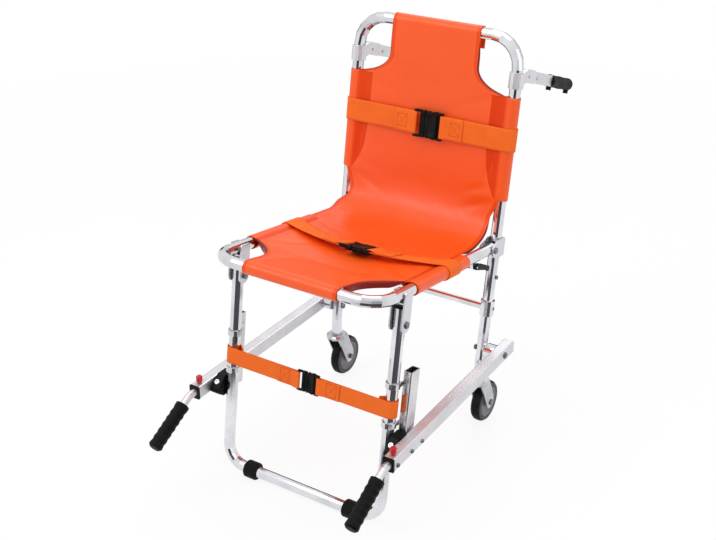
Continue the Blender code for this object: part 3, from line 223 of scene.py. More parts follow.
def satinMetal(name, light, dark, rough, stretch):
    # rolled or extruded metal: fine lines along one axis over soft blotches
    look = dict(lines=700, blotch=22, share=0.4, gloss=(-0.06, 0.10), depth=0.12)
    finish, tree, shader = startFinish(name, light, rough, 1.0)
    lines = cloud(tree, placed(tree, stretch), look["lines"], 3)
    blotch = cloud(tree, placed(tree), look["blotch"], 4)
    shade = maths(tree, "ADD", maths(tree, "MULTIPLY", lines, look["share"]),
                  maths(tree, "MULTIPLY", blotch, 1 - look["share"]))
    tree.links.new(blendColour(tree, span(tree, shade, 0.35, 0.65, 0, 1), dark, light), shader.inputs["Base Color"])
    glossy, dull = (rough + change for change in look["gloss"])
    tree.links.new(span(tree, shade, 0.3, 0.7, glossy, dull), shader.inputs["Roughness"])
    tree.links.new(relief(tree, lines, look["depth"], grainDeep), shader.inputs["Normal"])
    return finish


def mouldedPlastic(name, base, worn, rough, grain=1400, depth=0.25, shine=0.12, flank=None):
    # fine moulded grain, with a paler bloom of handling, and a tyre's greyer flanks
    look = dict(bloom=45, gloss=(-0.08, 0.10))
    finish, tree, shader = startFinish(name, base, rough)
    shader.inputs["Specular IOR Level"].default_value = shine
    speck = addNode(tree, "ShaderNodeTexVoronoi", {"Vector": placed(tree), "Scale": grain}).outputs["Distance"]
    bloom = cloud(tree, placed(tree), look["bloom"], 5)
    colour = blendColour(tree, span(tree, bloom, 0.45, 0.75, 0, 1), base, worn)
    if flank:
        x = addNode(tree, "ShaderNodeSeparateXYZ", {0: placed(tree)}).outputs["X"]
        away = maths(tree, "ABSOLUTE", maths(tree, "SUBTRACT", maths(tree, "ABSOLUTE", x), flank["middle"]))
        colour = blendColour(tree, span(tree, away, *flank["edge"], 0, 1), colour, flank["colour"])
    tree.links.new(colour, shader.inputs["Base Color"])
    glossy, dull = (rough + change for change in look["gloss"])
    tree.links.new(span(tree, bloom, 0.3, 0.7, glossy, dull), shader.inputs["Roughness"])
    tree.links.new(relief(tree, speck, depth, grainDeep), shader.inputs["Normal"])
    return finish


# the wheels' middle in x, and where the tread passes into the flank, out from it
tyreFlank = dict(colour=tint(88, 87, 91), middle=0.196, edge=(0.0096, 0.0122))
# metal: light and dark colour, roughness, stretch of its lines; plastic: plain and worn colour, roughness, grain to
# the metre, its depth, shine
finishes = {
    "polished_tube": polishedTube(),
    "satin_aluminium": satinMetal("satinAluminium", tint(226, 225, 229), tint(208, 207, 212), 0.44, (1, 0.02, 1)),
    "zinc_plate": satinMetal("zincPlate", tint(206, 208, 212), tint(168, 171, 177), 0.30, (1, 1, 0.1)),
    "bolt_steel": satinMetal("boltSteel", tint(140, 141, 146), tint(92, 93, 98), 0.32, (0.1, 1, 1)),
    "black_plastic": mouldedPlastic("blackPlastic", tint(11, 11, 12), tint(26, 26, 27), 0.42),
    "grip_rubber": mouldedPlastic("gripRubber", tint(10, 10, 11), tint(25, 25, 25), 0.55, 900, 0.5),
    "tyre_rubber": mouldedPlastic("tyreRubber", tint(18, 18, 21), tint(38, 38, 42), 0.6, 700, 0.4, flank=tyreFlank),
    "hub_plastic": mouldedPlastic("hubPlastic", tint(122, 121, 126), tint(146, 145, 150), 0.45, 1100, 0.2, 0.4),
    "red_knob": mouldedPlastic("redKnob", tint(196, 22, 28), tint(220, 60, 60), 0.3, 1500, 0.1, 0.4),
}
brightBar = satinMetal("brightBar", tint(226, 224, 226), tint(196, 195, 198), 0.20, (1, 1, 0.02))
finishOf = {"leg_brace_left": brightBar, "leg_brace_right": brightBar}    # drawn bars brighter than the rails
slotOf = {entry["node"]: entry["material_slot"] for entry in frame["record"]["subparts"]}
for node, piece in frame["nodes"].items():
    if slotOf[node] in finishes:
        piece.data.materials.clear()
        piece.data.materials.append(finishOf.get(node, finishes[slotOf[node]]))
print("finishes:", len(finishes))


# the tubes that cloth is hung on, in the chair's frame

tubes = dict(lean=math.radians(9), half=0.196, radius=0.0125, postFoot=0.0890, topZ=0.900,
             seatPivot=vec(0, 0.129655, 0.454849), seatDepth=0.473, legFoot=-0.3301)
up = vec(0, math.sin(tubes["lean"]), math.cos(tubes["lean"]))
ahead = vec(0, -math.cos(tubes["lean"]), math.sin(tubes["lean"]))
side = vec(1, 0, 0)


def onPost(z):
    # a post's line at height z: foot + tan(lean) z back
    z = np.asarray(z, float)
    return np.stack([0 * z, tubes["postFoot"] + math.tan(tubes["lean"]) * z, z], -1)


def onLeg(z):
    # a leg's line at height z, as leaned as the post
    return vec(0, tubes["legFoot"] + math.tan(tubes["lean"]) * z, z)


def onSeat(along):
    # a seat tube's line, so far ahead of its pivot
    return tubes["seatPivot"] + np.asarray(along, float)[..., None] * ahead


# cloth finishes

def coatedVinyl():
    # UV holds metres across and along the cut; sewAway is the distance inboard of the seam: doubled cloth before it,
    # thread on it. The doubled cloth is less glossy and goes towards the deep colour: partly its own tone, partly
    # painted shade of the valley beside the sleeves
    # under: dark red, painted shade on the hem lips that hang under the cut edges
    look = dict(main=tint(247, 89, 18), deep=tint(220, 58, 4), under=tint(132, 16, 6), thread=tint(250, 128, 64),
                rough=0.36, gloss=(-0.06, 0.08), shine=0.46, doubledShine=0.35, weave=330.0, stitches=80.0,
                layerEdge=(-0.0015, 0.0010), threadEdge=(0.0004, 0.0010), soft=9, fine=60)
    finish, tree, shader = startFinish("coatedVinyl", look["main"], look["rough"])
    cut = addNode(tree, "ShaderNodeUVMap", uv_map="UVMap").outputs["UV"]
    weaveX, weaveY = (addNode(tree, "ShaderNodeTexWave", {"Vector": cut, "Scale": look["weave"], "Distortion": 0.0},
                              bands_direction=way).outputs["Fac"] for way in "XY")
    weave = maths(tree, "MULTIPLY", weaveX, weaveY)
    soft = cloud(tree, placed(tree), look["soft"], 3)
    fine = cloud(tree, placed(tree), look["fine"], 4)
    away = painted(tree, "sewAway")
    layer = maths(tree, "MULTIPLY", painted(tree, "doubledAndShade"), span(tree, away, *look["layerEdge"], 1, 0))
    dashes = addNode(tree, "ShaderNodeTexWave", {"Vector": cut, "Scale": look["stitches"]},
                     bands_direction="Y").outputs["Fac"]
    seam = maths(tree, "MULTIPLY", span(tree, maths(tree, "ABSOLUTE", away), *look["threadEdge"], 1, 0),
                 span(tree, dashes, 0.25, 0.45, 0, 0.8))
    tree.links.new(span(tree, layer, 0, 1, look["shine"], look["shine"] * look["doubledShine"]),
                   shader.inputs["Specular IOR Level"])
    # painted shade: random soft tone and the doubled cloth draw the colour towards the deep one, which stands for the
    # shade beside the sleeves
    shade = maths(tree, "ADD", maths(tree, "MULTIPLY", soft, 0.3), maths(tree, "MULTIPLY", layer, 0.66))
    colour = blendColour(tree, span(tree, shade, 0.12, 0.95, 0, 1), look["main"], look["deep"])
    # painted shade: the hem lips turn dark red
    colour = blendColour(tree, painted(tree, "under"), colour, look["under"])
    tree.links.new(blendColour(tree, seam, colour, look["thread"]), shader.inputs["Base Color"])
    glossy, dull = (look["rough"] + change for change in look["gloss"])
    tree.links.new(span(tree, fine, 0.3, 0.7, glossy, dull), shader.inputs["Roughness"])
    wrinkles = relief(tree, fine, 0.12, 0.002)
    tree.links.new(relief(tree, weave, 0.10, 0.0003, wrinkles), shader.inputs["Normal"])
    return finish


def wovenWebbing():
    # UV holds metres from the sewn end and across the strap: ribs across it, and a box stitch with its cross; the
    # valleys between the ribs are painted darker as shade
    look = dict(rib=tint(250, 124, 42), valley=tint(236, 98, 24), thread=tint(214, 74, 14), rough=0.62, shine=0.2,
                ribs=210.0, warp=120.0, soft=30, boxFrom=0.007, boxTo=0.031, boxHalf=0.014, stitch=0.0006)
    finish, tree, shader = startFinish("wovenWebbing", look["rib"], look["rough"])
    shader.inputs["Specular IOR Level"].default_value = look["shine"]
    cut = addNode(tree, "ShaderNodeUVMap", uv_map="UVMap").outputs["UV"]
    ribs = addNode(tree, "ShaderNodeTexWave", {"Vector": cut, "Scale": look["ribs"], "Distortion": 0.6,
                                               "Detail": 2.0}, bands_direction="X").outputs["Fac"]
    warp = addNode(tree, "ShaderNodeTexWave", {"Vector": cut, "Scale": look["warp"], "Distortion": 0.3},
                   bands_direction="Y").outputs["Fac"]
    weave = maths(tree, "MULTIPLY", ribs, warp)
    soft = cloud(tree, placed(tree), look["soft"], 3)
    shade = maths(tree, "ADD", maths(tree, "MULTIPLY", weave, 0.6), maths(tree, "MULTIPLY", soft, 0.4))
    # painted shade: the weave's valleys take the darker colour, mixed with random tone
    plain = blendColour(tree, span(tree, shade, 0.1, 0.7, 0, 1), look["valley"], look["rib"])
    split = addNode(tree, "ShaderNodeSeparateXYZ", {0: cut})
    along, across = split.outputs[0], maths(tree, "ABSOLUTE", split.outputs[1])
    middle, room = (look["boxFrom"] + look["boxTo"]) / 2, (look["boxTo"] - look["boxFrom"]) / 2
    offMiddle = maths(tree, "ABSOLUTE", maths(tree, "SUBTRACT", along, middle))
    toEnds = maths(tree, "ABSOLUTE", maths(tree, "SUBTRACT", offMiddle, room))
    toSides = maths(tree, "ABSOLUTE", maths(tree, "SUBTRACT", across, look["boxHalf"]))
    toCross = maths(tree, "ABSOLUTE", maths(tree, "SUBTRACT", across,
                                            maths(tree, "MULTIPLY", offMiddle, look["boxHalf"] / room)))
    line = maths(tree, "MINIMUM", maths(tree, "MINIMUM", toEnds, toSides), toCross)
    inside = maths(tree, "MULTIPLY", maths(tree, "LESS_THAN", offMiddle, room + look["stitch"]),
                   maths(tree, "LESS_THAN", across, look["boxHalf"] + look["stitch"]))
    sewn = maths(tree, "MULTIPLY", inside, span(tree, line, look["stitch"] * 0.5, look["stitch"] * 1.5, 1, 0))
    tree.links.new(blendColour(tree, sewn, plain, look["thread"]), shader.inputs["Base Color"])
    height = maths(tree, "SUBTRACT", weave, maths(tree, "MULTIPLY", sewn, 1.5))
    tree.links.new(relief(tree, height, 0.45, 0.0005), shader.inputs["Normal"])
    return finish


vinyl = coatedVinyl()
webbing = wovenWebbing()


# sling: one coated sheet from the top bar over the back and seat to the front bar

sling = dict(thick=0.0015, play=0.0007, backSag=0.008, seatSag=0.016, topHalf=0.107, frontHalf=0.111,
             topCut=0.7778, topFlare=0.050, frontFlare=0.0851, backSleeveEnd=0.555, seatSplit=0.120,
             seatSleeveEnd=0.3439, wrapTail=0.035, sleeveTail=0.0275, edgeIn=0.016, edgeInBy=0.2,
             edgePull=(-0.039, -0.005), midPull=(-0.020, 0.003), backOver=(0.33, 0.52), edgeFlat=0.012,
             topLip=0.005, edgeLip=0.005, frontLip=0.015, leastLip=0.0006, lipGrow=0.25, lipEnd=0.85,
             edgeLipFrom=0.2, hemBend=0.25,
             valley=0.0028, valleyIn=0.008, valleyWide=0.011, valleyBlur=8, pullReach=0.05, pullEnds=(0.06, 0.94),
             columns=96, hookColumns=18, tailColumns=6, hookEnd=math.radians(132), hem=0.010,
             backSeam=(0.048, 0.012), seamBow=5, seatSeam=0.0235, sleeveStart=(0.006, 0.014), hemDoubledAndShade=0.6,
             lipShadeFrom=0.004)
slingSteps = dict(tail=8, turn=17, level=14, topFlare=24, sleeve=40, corner=60, frontFlare=30)
# pulls in the cloth: the tube they are measured along, place and x of each end, depth and width
pulls = ((onPost, 0.555, 0.188, 0.505, 0.085, 0.0026, 0.010),
         (onPost, 0.585, 0.184, 0.555, 0.095, 0.0020, 0.009),
         (onPost, 0.655, 0.176, 0.575, 0.150, 0.0022, 0.010),
         (onPost, 0.775, 0.170, 0.735, 0.060, 0.0018, 0.012),
         (onPost, 0.835, 0.100, 0.770, 0.075, 0.0016, 0.010),
         (onSeat, 0.330, 0.172, 0.250, 0.090, 0.0024, 0.011),
         (onSeat, 0.452, 0.098, 0.350, 0.070, 0.0020, 0.012),
         (onSeat, 0.130, 0.172, 0.150, 0.060, 0.0024, 0.011))
sleeveR = tubes["radius"] + sling["play"] + sling["thick"] / 2


def bowedSeam(t):
    # how far inboard the back's sleeve is sewn, from its top to its end: low + (high - low)(1 - t^bow); the cloth
    # outboard of it is painted darker, partly as shade
    high, low = sling["backSeam"]
    return low + (high - low) * (1 - t ** sling["seamBow"])


def slingRows():
    # rows down the sheet: where its edge and its middle lie, its half width, if a sleeve holds it, the tube's
    # centre, the way the cloth faces, how far a hem hangs from the edge, and where the edge is sewn
    edge, middle, half, held, centre, front, lip, seam, leftEdge, leftHalf = ([] for _ in range(10))

    def add(edgeRow, middleRow, halfRow, heldRow, centreRow, frontRow, lipRow=0.0, seamRow=sling["hem"],
            leftRow=None, leftHalfRow=None):
        count = len(edgeRow)
        edge.append(edgeRow)
        middle.append(middleRow)
        leftEdge.append(edgeRow if leftRow is None else leftRow)
        leftHalf.append(np.broadcast_to(halfRow if leftHalfRow is None else leftHalfRow, count))
        for rows, row, shape in ((half, halfRow, count), (held, heldRow, count), (centre, centreRow, (count, 3)),
                                 (front, frontRow, (count, 3)), (lip, lipRow, count), (seam, seamRow, count)):
            rows.append(np.broadcast_to(row, shape))

    def wrap(barAt, face, inward, halfRow, reverse):
        # straight tail behind the bar, then half a turn round it
        t = np.linspace(0, 1, slingSteps["tail"])[:-1, None]
        tail = barAt + inward * sling["wrapTail"] * (1 - t) - face * sleeveR
        a = np.linspace(0, math.pi, slingSteps["turn"])[:, None]
        turn = barAt - face * sleeveR * np.cos(a) - inward * sleeveR * np.sin(a)
        rows = np.concatenate([tail, turn])
        rows = rows[::-1] if reverse else rows
        add(rows, rows, halfRow, 0.0, barAt, face)

    def flare(narrow, length, rows):
        # half width of a rounded corner cut-out: narrow + room x (1 - cos), and how far down it is
        a = np.linspace(0, math.pi / 2, rows)
        return narrow + (tubes["half"] - narrow) * (1 - np.cos(a)), length * np.sin(a)

    def lipOf(length, rows, start=0.0):
        # hem that grows from nothing, holds, and ends again
        q = np.linspace(0, 1, rows)
        return sling["leastLip"] + length * easeStep(start, start + sling["lipGrow"], q) * (
            1 - easeStep(sling["lipEnd"], 1, q))

    topFace, seatFace = ahead, up
    wrap(onPost(tubes["topZ"]), topFace, -up, sling["topHalf"], False)
    flareTop = sling["topCut"] + sling["topFlare"]
    halfRow, down = flare(sling["topHalf"], sling["topFlare"], slingSteps["topFlare"])
    above = np.linspace(tubes["topZ"], flareTop, slingSteps["level"])[1:-1]
    z = np.concatenate([above, (flareTop - down)[:-1]])
    halfRow = np.concatenate([np.full(len(above), sling["topHalf"]), halfRow[:-1]])
    flat = onPost(z) + topFace * sleeveR
    share = ((tubes["topZ"] - z) / (tubes["topZ"] - sling["topCut"]))[:, None]
    add(flat, flat - topFace * sling["backSag"] * share, halfRow, 0.0, 0.0, topFace, lipOf(sling["topLip"], len(z)))
    post = onPost(np.linspace(sling["topCut"], sling["backSleeveEnd"], slingSteps["sleeve"]))
    flat = post + topFace * sleeveR
    add(flat, flat - topFace * sling["backSag"], tubes["half"], 1.0, post, topFace, 0.0,
        bowedSeam(np.linspace(0, 1, slingSteps["sleeve"])))
    t = np.linspace(0, 1, slingSteps["corner"])[1:-1, None]
    high, low = flat[-1], onSeat(sling["seatSplit"]) + seatFace * sleeveR
    knee = onSeat(sling["edgePull"][0]) + up * sling["edgePull"][1]
    kneeMid = onSeat(sling["midPull"][0]) + up * sling["midPull"][1]
    highMid, lowMid = high - topFace * sling["backSag"], low - seatFace * sling["seatSag"]
    curve = high * (1 - t) ** 2 + knee * 2 * t * (1 - t) + low * t ** 2
    curveMid = highMid * (1 - t) ** 2 + kneeMid * 2 * t * (1 - t) + lowMid * t ** 2
    # the slack corner draws in from the tubes; on the left it lies back over the seat tube
    drawnIn = sling["edgeIn"] * np.clip(t[:, 0] / sling["edgeInBy"], 0, 1)
    backOver = easeStep(*sling["backOver"], t)
    height = (curve - tubes["seatPivot"]) @ up
    over = curve + up * np.maximum(sleeveR - height, 0)[:, None] * backOver
    add(curve, curveMid, tubes["half"] - drawnIn, 0.0, 0.0, unit(topFace * (1 - t) + seatFace * t),
        lipOf(sling["edgeLip"], len(t), sling["edgeLipFrom"]), sling["hem"], over,
        tubes["half"] - drawnIn * (1 - backOver[:, 0]))
    tube = onSeat(np.linspace(sling["seatSplit"], sling["seatSleeveEnd"], slingSteps["sleeve"]))
    flat = tube + seatFace * sleeveR
    add(flat, flat - seatFace * sling["seatSag"], tubes["half"], 1.0, tube, seatFace, 0.0, sling["seatSeam"])
    halfRow, on = flare(sling["frontHalf"], sling["frontFlare"], slingSteps["frontFlare"])
    flareEnd = sling["seatSleeveEnd"] + sling["frontFlare"]
    beyond = np.linspace(flareEnd, tubes["seatDepth"], slingSteps["level"])[1:-1]
    along = np.concatenate([(flareEnd - on)[-2::-1], beyond])
    halfRow = np.concatenate([halfRow[-2::-1], np.full(len(beyond), sling["frontHalf"])])
    flat = onSeat(along) + seatFace * sleeveR
    share = ((tubes["seatDepth"] - along) / (tubes["seatDepth"] - sling["seatSleeveEnd"]))[:, None]
    add(flat, flat - seatFace * sling["seatSag"] * share, halfRow, 0.0, 0.0, seatFace,
        lipOf(sling["frontLip"], len(along)))
    wrap(onSeat(tubes["seatDepth"]), seatFace, -ahead, sling["frontHalf"], True)
    listed = (edge, middle, half, held, centre, front, lip, seam, leftEdge, leftHalf)
    return [np.concatenate(rows) for rows in listed]


def creases():
    # both ends, depth and width of each pull, on the left and on the right
    return [(along(start) + hand * startX * side, along(end) + hand * endX * side, depth, width)
            for hand in (-1, 1) for along, start, startX, end, endX, depth, width in pulls]


def slingSheet():
    # across a row: middle + (edge - middle)(x / tube spacing)^2, cut at its half width, less the valley beside
    # the sleeves and the creases; a held row goes on round its tube, and a hemmed one turns down over its edge
    edge, middle, half, held, centre, front, lip, seamAt, leftEdge, leftHalf = slingRows()
    u = np.linspace(-1, 1, sling["columns"] + 1)
    reach = np.where(u < 0, leftHalf[:, None], half[:, None])
    x = (reach * u)[..., None]
    rim = np.where((u < 0)[:, None], leftEdge[:, None], edge[:, None])
    panel = middle[:, None] + (rim - middle[:, None]) * (x / tubes["half"]) ** 2 + x * side
    inboard = reach * (1 - np.abs(u))
    blur = 2 * sling["valleyBlur"] + 1
    softHeld = np.convolve(np.pad(held, sling["valleyBlur"], mode="edge"), np.ones(blur) / blur, "valid")[:, None]
    fromValley = inboard - sling["valleyIn"] - 0.5 * seamAt[:, None]
    dent = sling["valley"] * softHeld * np.exp(-(fromValley / sling["valleyWide"]) ** 2)
    for a, b, depth, width in creases():
        t = np.clip(((panel - a) @ (b - a)) / (b - a).dot(b - a), 0, 1)
        away = np.linalg.norm(panel + front[:, None] * ((a - panel) * front[:, None]).sum(-1, keepdims=True)
                              - a - t[..., None] * (b - a), axis=-1)
        near = np.abs(((panel - a) * front[:, None]).sum(-1)) < sling["pullReach"]
        dent = dent + near * depth * np.exp(-(away / width) ** 2) * np.sin(math.pi * np.clip(t, *sling["pullEnds"]))
    dent = dent * easeStep(0, sling["edgeFlat"], inboard)
    panel = panel - front[:, None] * dent[..., None]

    a = -math.pi / 2 + (sling["hookEnd"] + math.pi / 2) * np.linspace(0, 1, sling["hookColumns"] + 1)[1:]
    out, back = sleeveR * np.cos(a), sleeveR * np.sin(a)
    tail = np.linspace(0, sling["sleeveTail"], sling["tailColumns"])[1:]
    out = np.concatenate([out, out[-1] - tail * math.sin(sling["hookEnd"])])
    back = np.concatenate([back, back[-1] + tail * math.cos(sling["hookEnd"])])
    hooks = len(out)
    roundTube = np.cumsum(np.hypot(np.diff(out, prepend=0), np.diff(back, prepend=-sleeveR)))
    hook = centre[:, None] - front[:, None] * back[None, :, None] + side * (tubes["half"] + out)[None, :, None]

    # hem: a quarter turn of a quarter of its length, then straight down, square to the edge's line
    s = lip[:, None] * np.linspace(0, 1, hooks + 1)[1:]
    bend = sling["hemBend"] * np.maximum(lip, 1e-6)[:, None]
    turn = np.minimum(s / bend, math.pi / 2)
    fall = bend * (1 - np.cos(turn)) + np.maximum(s - bend * math.pi / 2, 0)
    flip = vec(-1, 1, 1)

    def strip(start):
        outward = unit(np.cross(front, np.gradient(start, axis=0)) + 1e-12)
        rollOut = outward[:, None] * (bend * np.sin(turn))[..., None]
        hem = start[:, None] + rollOut - front[:, None] * fall[..., None]
        return np.where((held > 0)[:, None, None], hook, hem)

    points = np.concatenate([(strip(panel[:, 0] * flip) * flip)[:, ::-1], panel, strip(panel[:, -1])], 1)
    rows, cols = points.shape[:2]
    down = np.concatenate([[0], np.cumsum(np.linalg.norm(np.diff(middle, axis=0), axis=1))])
    beyond = np.where((held > 0)[:, None], tubes["half"] + roundTube, half[:, None] + s)
    uv = np.stack([np.concatenate([-beyond[:, ::-1], x[..., 0], beyond], 1),
                   np.broadcast_to(down[:, None], (rows, cols))], -1)
    faces = gridQuads(rows, cols).reshape(rows - 1, cols - 1, 4)
    isHook = np.ones(cols - 1, bool)
    isHook[hooks:hooks + len(u) - 1] = False
    both = ((held[:-1] > 0) & (held[1:] > 0)) | ((lip[:-1] > 0) & (lip[1:] > 0))
    faces = faces[both[:, None] | ~isHook[None, :]]
    pad = np.full((rows, hooks), -1.0)
    inboard = np.concatenate([pad, inboard, pad], 1)
    return points, uv, faces, inboard, held, down, lip, seamAt[:, None]


def makeSling():
    points, uv, faces, inboard, held, down, lip, seamAt = slingSheet()
    rows, cols = points.shape[:2]
    # stitches and doubled cloth: a hem along free edges, a sewn sleeve along held ones, both painted darker, partly as
    # shade; painted shade in dark red on the hem lips that hang under the edges
    doubledAndShade = np.where(held[:, None] > 0, easeStep(*sling["sleeveStart"], inboard), sling["hemDoubledAndShade"])
    # painted shade on the hem lips, full once a lip is a few millimetres long
    under = easeStep(0.0, sling["lipShadeFrom"], lip)[:, None] * (inboard < -1e-6)
    used = np.unique(faces)
    where = np.full(rows * cols, -1)
    where[used] = np.arange(len(used))
    piece = putPiece("slingCloth", points.reshape(-1, 3)[used], where[faces], vinyl, uv.reshape(-1, 2)[used])
    for name, values in (("sewAway", inboard - seamAt), ("doubledAndShade", doubledAndShade), ("under", under)):
        attribute = piece.data.attributes.new(name, "FLOAT", "POINT")
        attribute.data.foreach_set("value", values.reshape(-1)[used].astype(np.float32))
    thicken(piece, sling["thick"])
    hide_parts("sling_back", "sling_seat")
    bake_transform(piece)


def thicken(piece, depth):
    # half of the cloth's thickness to each side of its sheet
    wall = piece.modifiers.new("thickness", "SOLIDIFY")
    wall.thickness = depth
    wall.offset = 0.0


makeSling()


# straps: six lengths of webbing, each hooked round its tube and looped through its half of the buckle

straps = dict(thick=0.002, tail=0.022, turnBack=0.052, barAt=0.033, loop=0.0029, buckleX=0.008, sewnGap=0.0004,
              settle=0.020)
strapSteps = dict(tail=5, hook=19, run=60, turn=13, home=30, wide=11)
overR = sleeveR + sling["thick"] / 2 + sling["play"] + straps["thick"] / 2
legR = tubes["radius"] + sling["play"] + straps["thick"] / 2
runs = {
    "chest": dict(body="back", at=onPost(0.688), front=ahead, across=up, radius=overR, wide=0.050, scale=1.0,
                  bow=0.0, dip=0.0, roll=0.0),
    "lap": dict(body="seat", at=onSeat(0.190), front=up, across=ahead, radius=overR, wide=0.050, scale=1.0,
                bow=0.045, dip=0.005, roll=0.009),
    "leg": dict(body="legs", at=onLeg(0.2755), front=ahead, across=up, radius=legR, wide=0.037, scale=0.74,
                bow=0.0, dip=0.0, roll=0.0)}


def sway(run, x):
    # the lap strap's bow towards the knees and dip into the seat, full in the middle, none at the tubes
    share = np.clip(np.abs(np.asarray(x, float)) / tubes["half"], 0, 1)
    return (1 - share ** 2)[..., None] * (run["across"] * run["bow"] - run["front"] * run["dip"])


def rollOf(run, x):
    # slope across the lap strap, its front edge up, full in the middle, none at the tubes
    return run["roll"] / run["wide"] * np.clip(1 - (np.asarray(x, float) / tubes["half"]) ** 2, 0, 1)


def makeStrap(name, hand):
    # path: a tail behind the tube, round its outside, straight to the buckle's bar, half a turn round the bar,
    # and back on top of itself to where it is sewn
    run = runs[name]
    r, bar, loop = run["radius"], straps["barAt"] * run["scale"] + hand * straps["buckleX"], straps["loop"]
    a = -math.pi / 2 + (sling["hookEnd"] + math.pi / 2) * np.linspace(1, 0, strapSteps["hook"])
    tail = np.linspace(straps["tail"], 0, strapSteps["tail"])[:-1]
    end = sling["hookEnd"]
    tailX = r * math.cos(end) - tail * math.sin(end)
    tailW = -r * math.sin(end) - tail * math.cos(end)
    straight = np.linspace(tubes["half"], bar, strapSteps["run"])[1:-1]
    turn = np.linspace(0, math.pi, strapSteps["turn"])
    home = np.linspace(0, straps["turnBack"], strapSteps["home"])[1:]
    lift = straps["thick"] + straps["sewnGap"]
    x = np.concatenate([tubes["half"] + tailX, tubes["half"] + r * np.cos(a), straight, bar - loop * np.sin(turn),
                        bar + home])
    w = np.concatenate([tailW, -r * np.sin(a), np.full(len(straight), r), r + loop - loop * np.cos(turn),
                        r + lift + (2 * loop - lift) * (1 - easeStep(0, straps["settle"], home))])
    line = run["at"] + hand * x[:, None] * side + w[:, None] * run["front"] + sway(run, x)
    wide = np.linspace(-0.5, 0.5, strapSteps["wide"]) * run["wide"]
    tilt = rollOf(run, x)
    points = line[None] + wide[:, None, None] * (run["across"] + tilt[:, None] * run["front"])
    along = np.concatenate([[0], np.cumsum(np.linalg.norm(np.diff(line, axis=0), axis=1))])
    uv = np.stack(np.broadcast_arrays((along[-1] - along)[None, :], wide[:, None]), -1)
    node = name + "_strap_" + ("right" if hand > 0 else "left")
    piece = putPiece(name + "Strap" + ("Right" if hand > 0 else "Left"), points, gridQuads(*points.shape[:2]),
                     webbing, uv)
    thicken(piece, straps["thick"])
    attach(piece, run["body"])
    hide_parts(node)
    return along[-1]


for name in runs:
    print("%s strap: %.3f and %.3f m" % (name, makeStrap(name, -1), makeStrap(name, 1)))


# buckles: side-release, a forked plug in a socket, each with a bar that its strap turns round

# in millimetres: u along the strap from the buckle's middle, v across it, height out of its face
millimetre = 0.001
buckles = dict(high=31.0, thick=13.0, notchAt=6.0, notchDeep=4.6, notchWide=4.2, sunk=1.5, rim=4.5,
               plugBody=(-20.7, -6.3), plugIn=0.8, plugDeep=5.4, ribsAt=(-17.2, -13.5, -9.8), ribHalf=0.9,
               ribLong=24, ribRise=(4.8, 6.3), plugArm=(-36, -19), socketArm=(21.6, 36), armHalf=2.8,
               armRise=(-2.0, 5.6), prong=(-7.5, 16.5), prongAt=25.6, prongHalf=2.4, prongDeep=2.6,
               tongue=(-7.5, 11), tongueHalf=9, tongueDeep=1.8, socketBody=(-5.8, 22.8), barAt=33, barOut=2.9,
               barRadius=1.6, barShort=3, keeperAt=25.5, keeperOut=3.4, keeperRadius=1.7)


def slab(low, high, levels, power=7.0, notch=0.0, count=56):
    # superellipse outline |u|^n + |v|^n = 1 fitted to the box, lofted through levels of (height, inset); the
    # notch draws its sides in
    low, high = np.asarray(low, float), np.asarray(high, float)
    mid, half = (low + high) / 2, (high - low) / 2
    t = (np.arange(count) + 0.5) * 2 * math.pi / count
    cu = np.sign(np.cos(t)) * np.abs(np.cos(t)) ** (2 / power)
    cv = np.sign(np.sin(t)) * np.abs(np.sin(t)) ** (2 / power)
    levels = np.asarray(levels, float)
    u = mid[0] + (half[0] - levels[:, 1:]) * cu
    v = mid[1] + (half[1] - levels[:, 1:]) * cv
    waist = np.exp(-((u - buckles["notchAt"]) / buckles["notchWide"]) ** 2)
    v = v - np.sign(v) * notch * waist * (np.abs(cv) > 0.5)
    return ringShape(np.stack([u, v, np.broadcast_to(levels[:, :1], u.shape)], -1))


def rounded(low, high, edge):
    # levels of a plate with both rims eased
    return [(low, edge), (low + edge * 0.3, edge * 0.3), (low + edge, 0), (high - edge, 0),
            (high - edge * 0.3, edge * 0.3), (high, edge)]


def block(ends, half, levels, power, at=0.0, notch=0.0):
    # slab between two places along the strap, half to each side of the line v = at
    return slab((ends[0], at - half), (ends[1], at + half), levels, power, notch)


def arm(ends, hand):
    # one of the two arms that hold a bar
    half = buckles["armHalf"]
    return block(ends, half, rounded(*buckles["armRise"], 1.0), 5, hand * (buckles["high"] - half))


def rod(u, w, radius):
    # round bar across the buckle with eased ends
    length = buckles["high"] - buckles["barShort"]
    profile = [(-length, radius * 0.8), (-length + 0.4, radius), (length - 0.4, radius), (length, radius * 0.8)]
    return turned(profile, (u, 0, w), (0, 1, 0), 20)


def plugShape():
    # body with grip ribs, two arms and two prongs, a tongue and the strap's bar
    b = buckles
    shapes = [block(b["plugBody"], b["high"] - b["plugIn"], rounded(-b["plugDeep"], b["plugDeep"], 1.4), 9)]
    shapes += [block((u - b["ribHalf"], u + b["ribHalf"]), b["ribLong"], rounded(*b["ribRise"], 0.5), 4)
               for u in b["ribsAt"]]
    for hand in (-1, 1):
        shapes += [arm(b["plugArm"], hand),
                   block(b["prong"], b["prongHalf"], rounded(-b["prongDeep"], b["prongDeep"], 1.0), 4,
                         hand * b["prongAt"])]
    shapes += [block(b["tongue"], b["tongueHalf"], rounded(-b["tongueDeep"], b["tongueDeep"], 0.8), 4),
               rod(-b["barAt"], b["barOut"], b["barRadius"])]
    return joined(shapes)


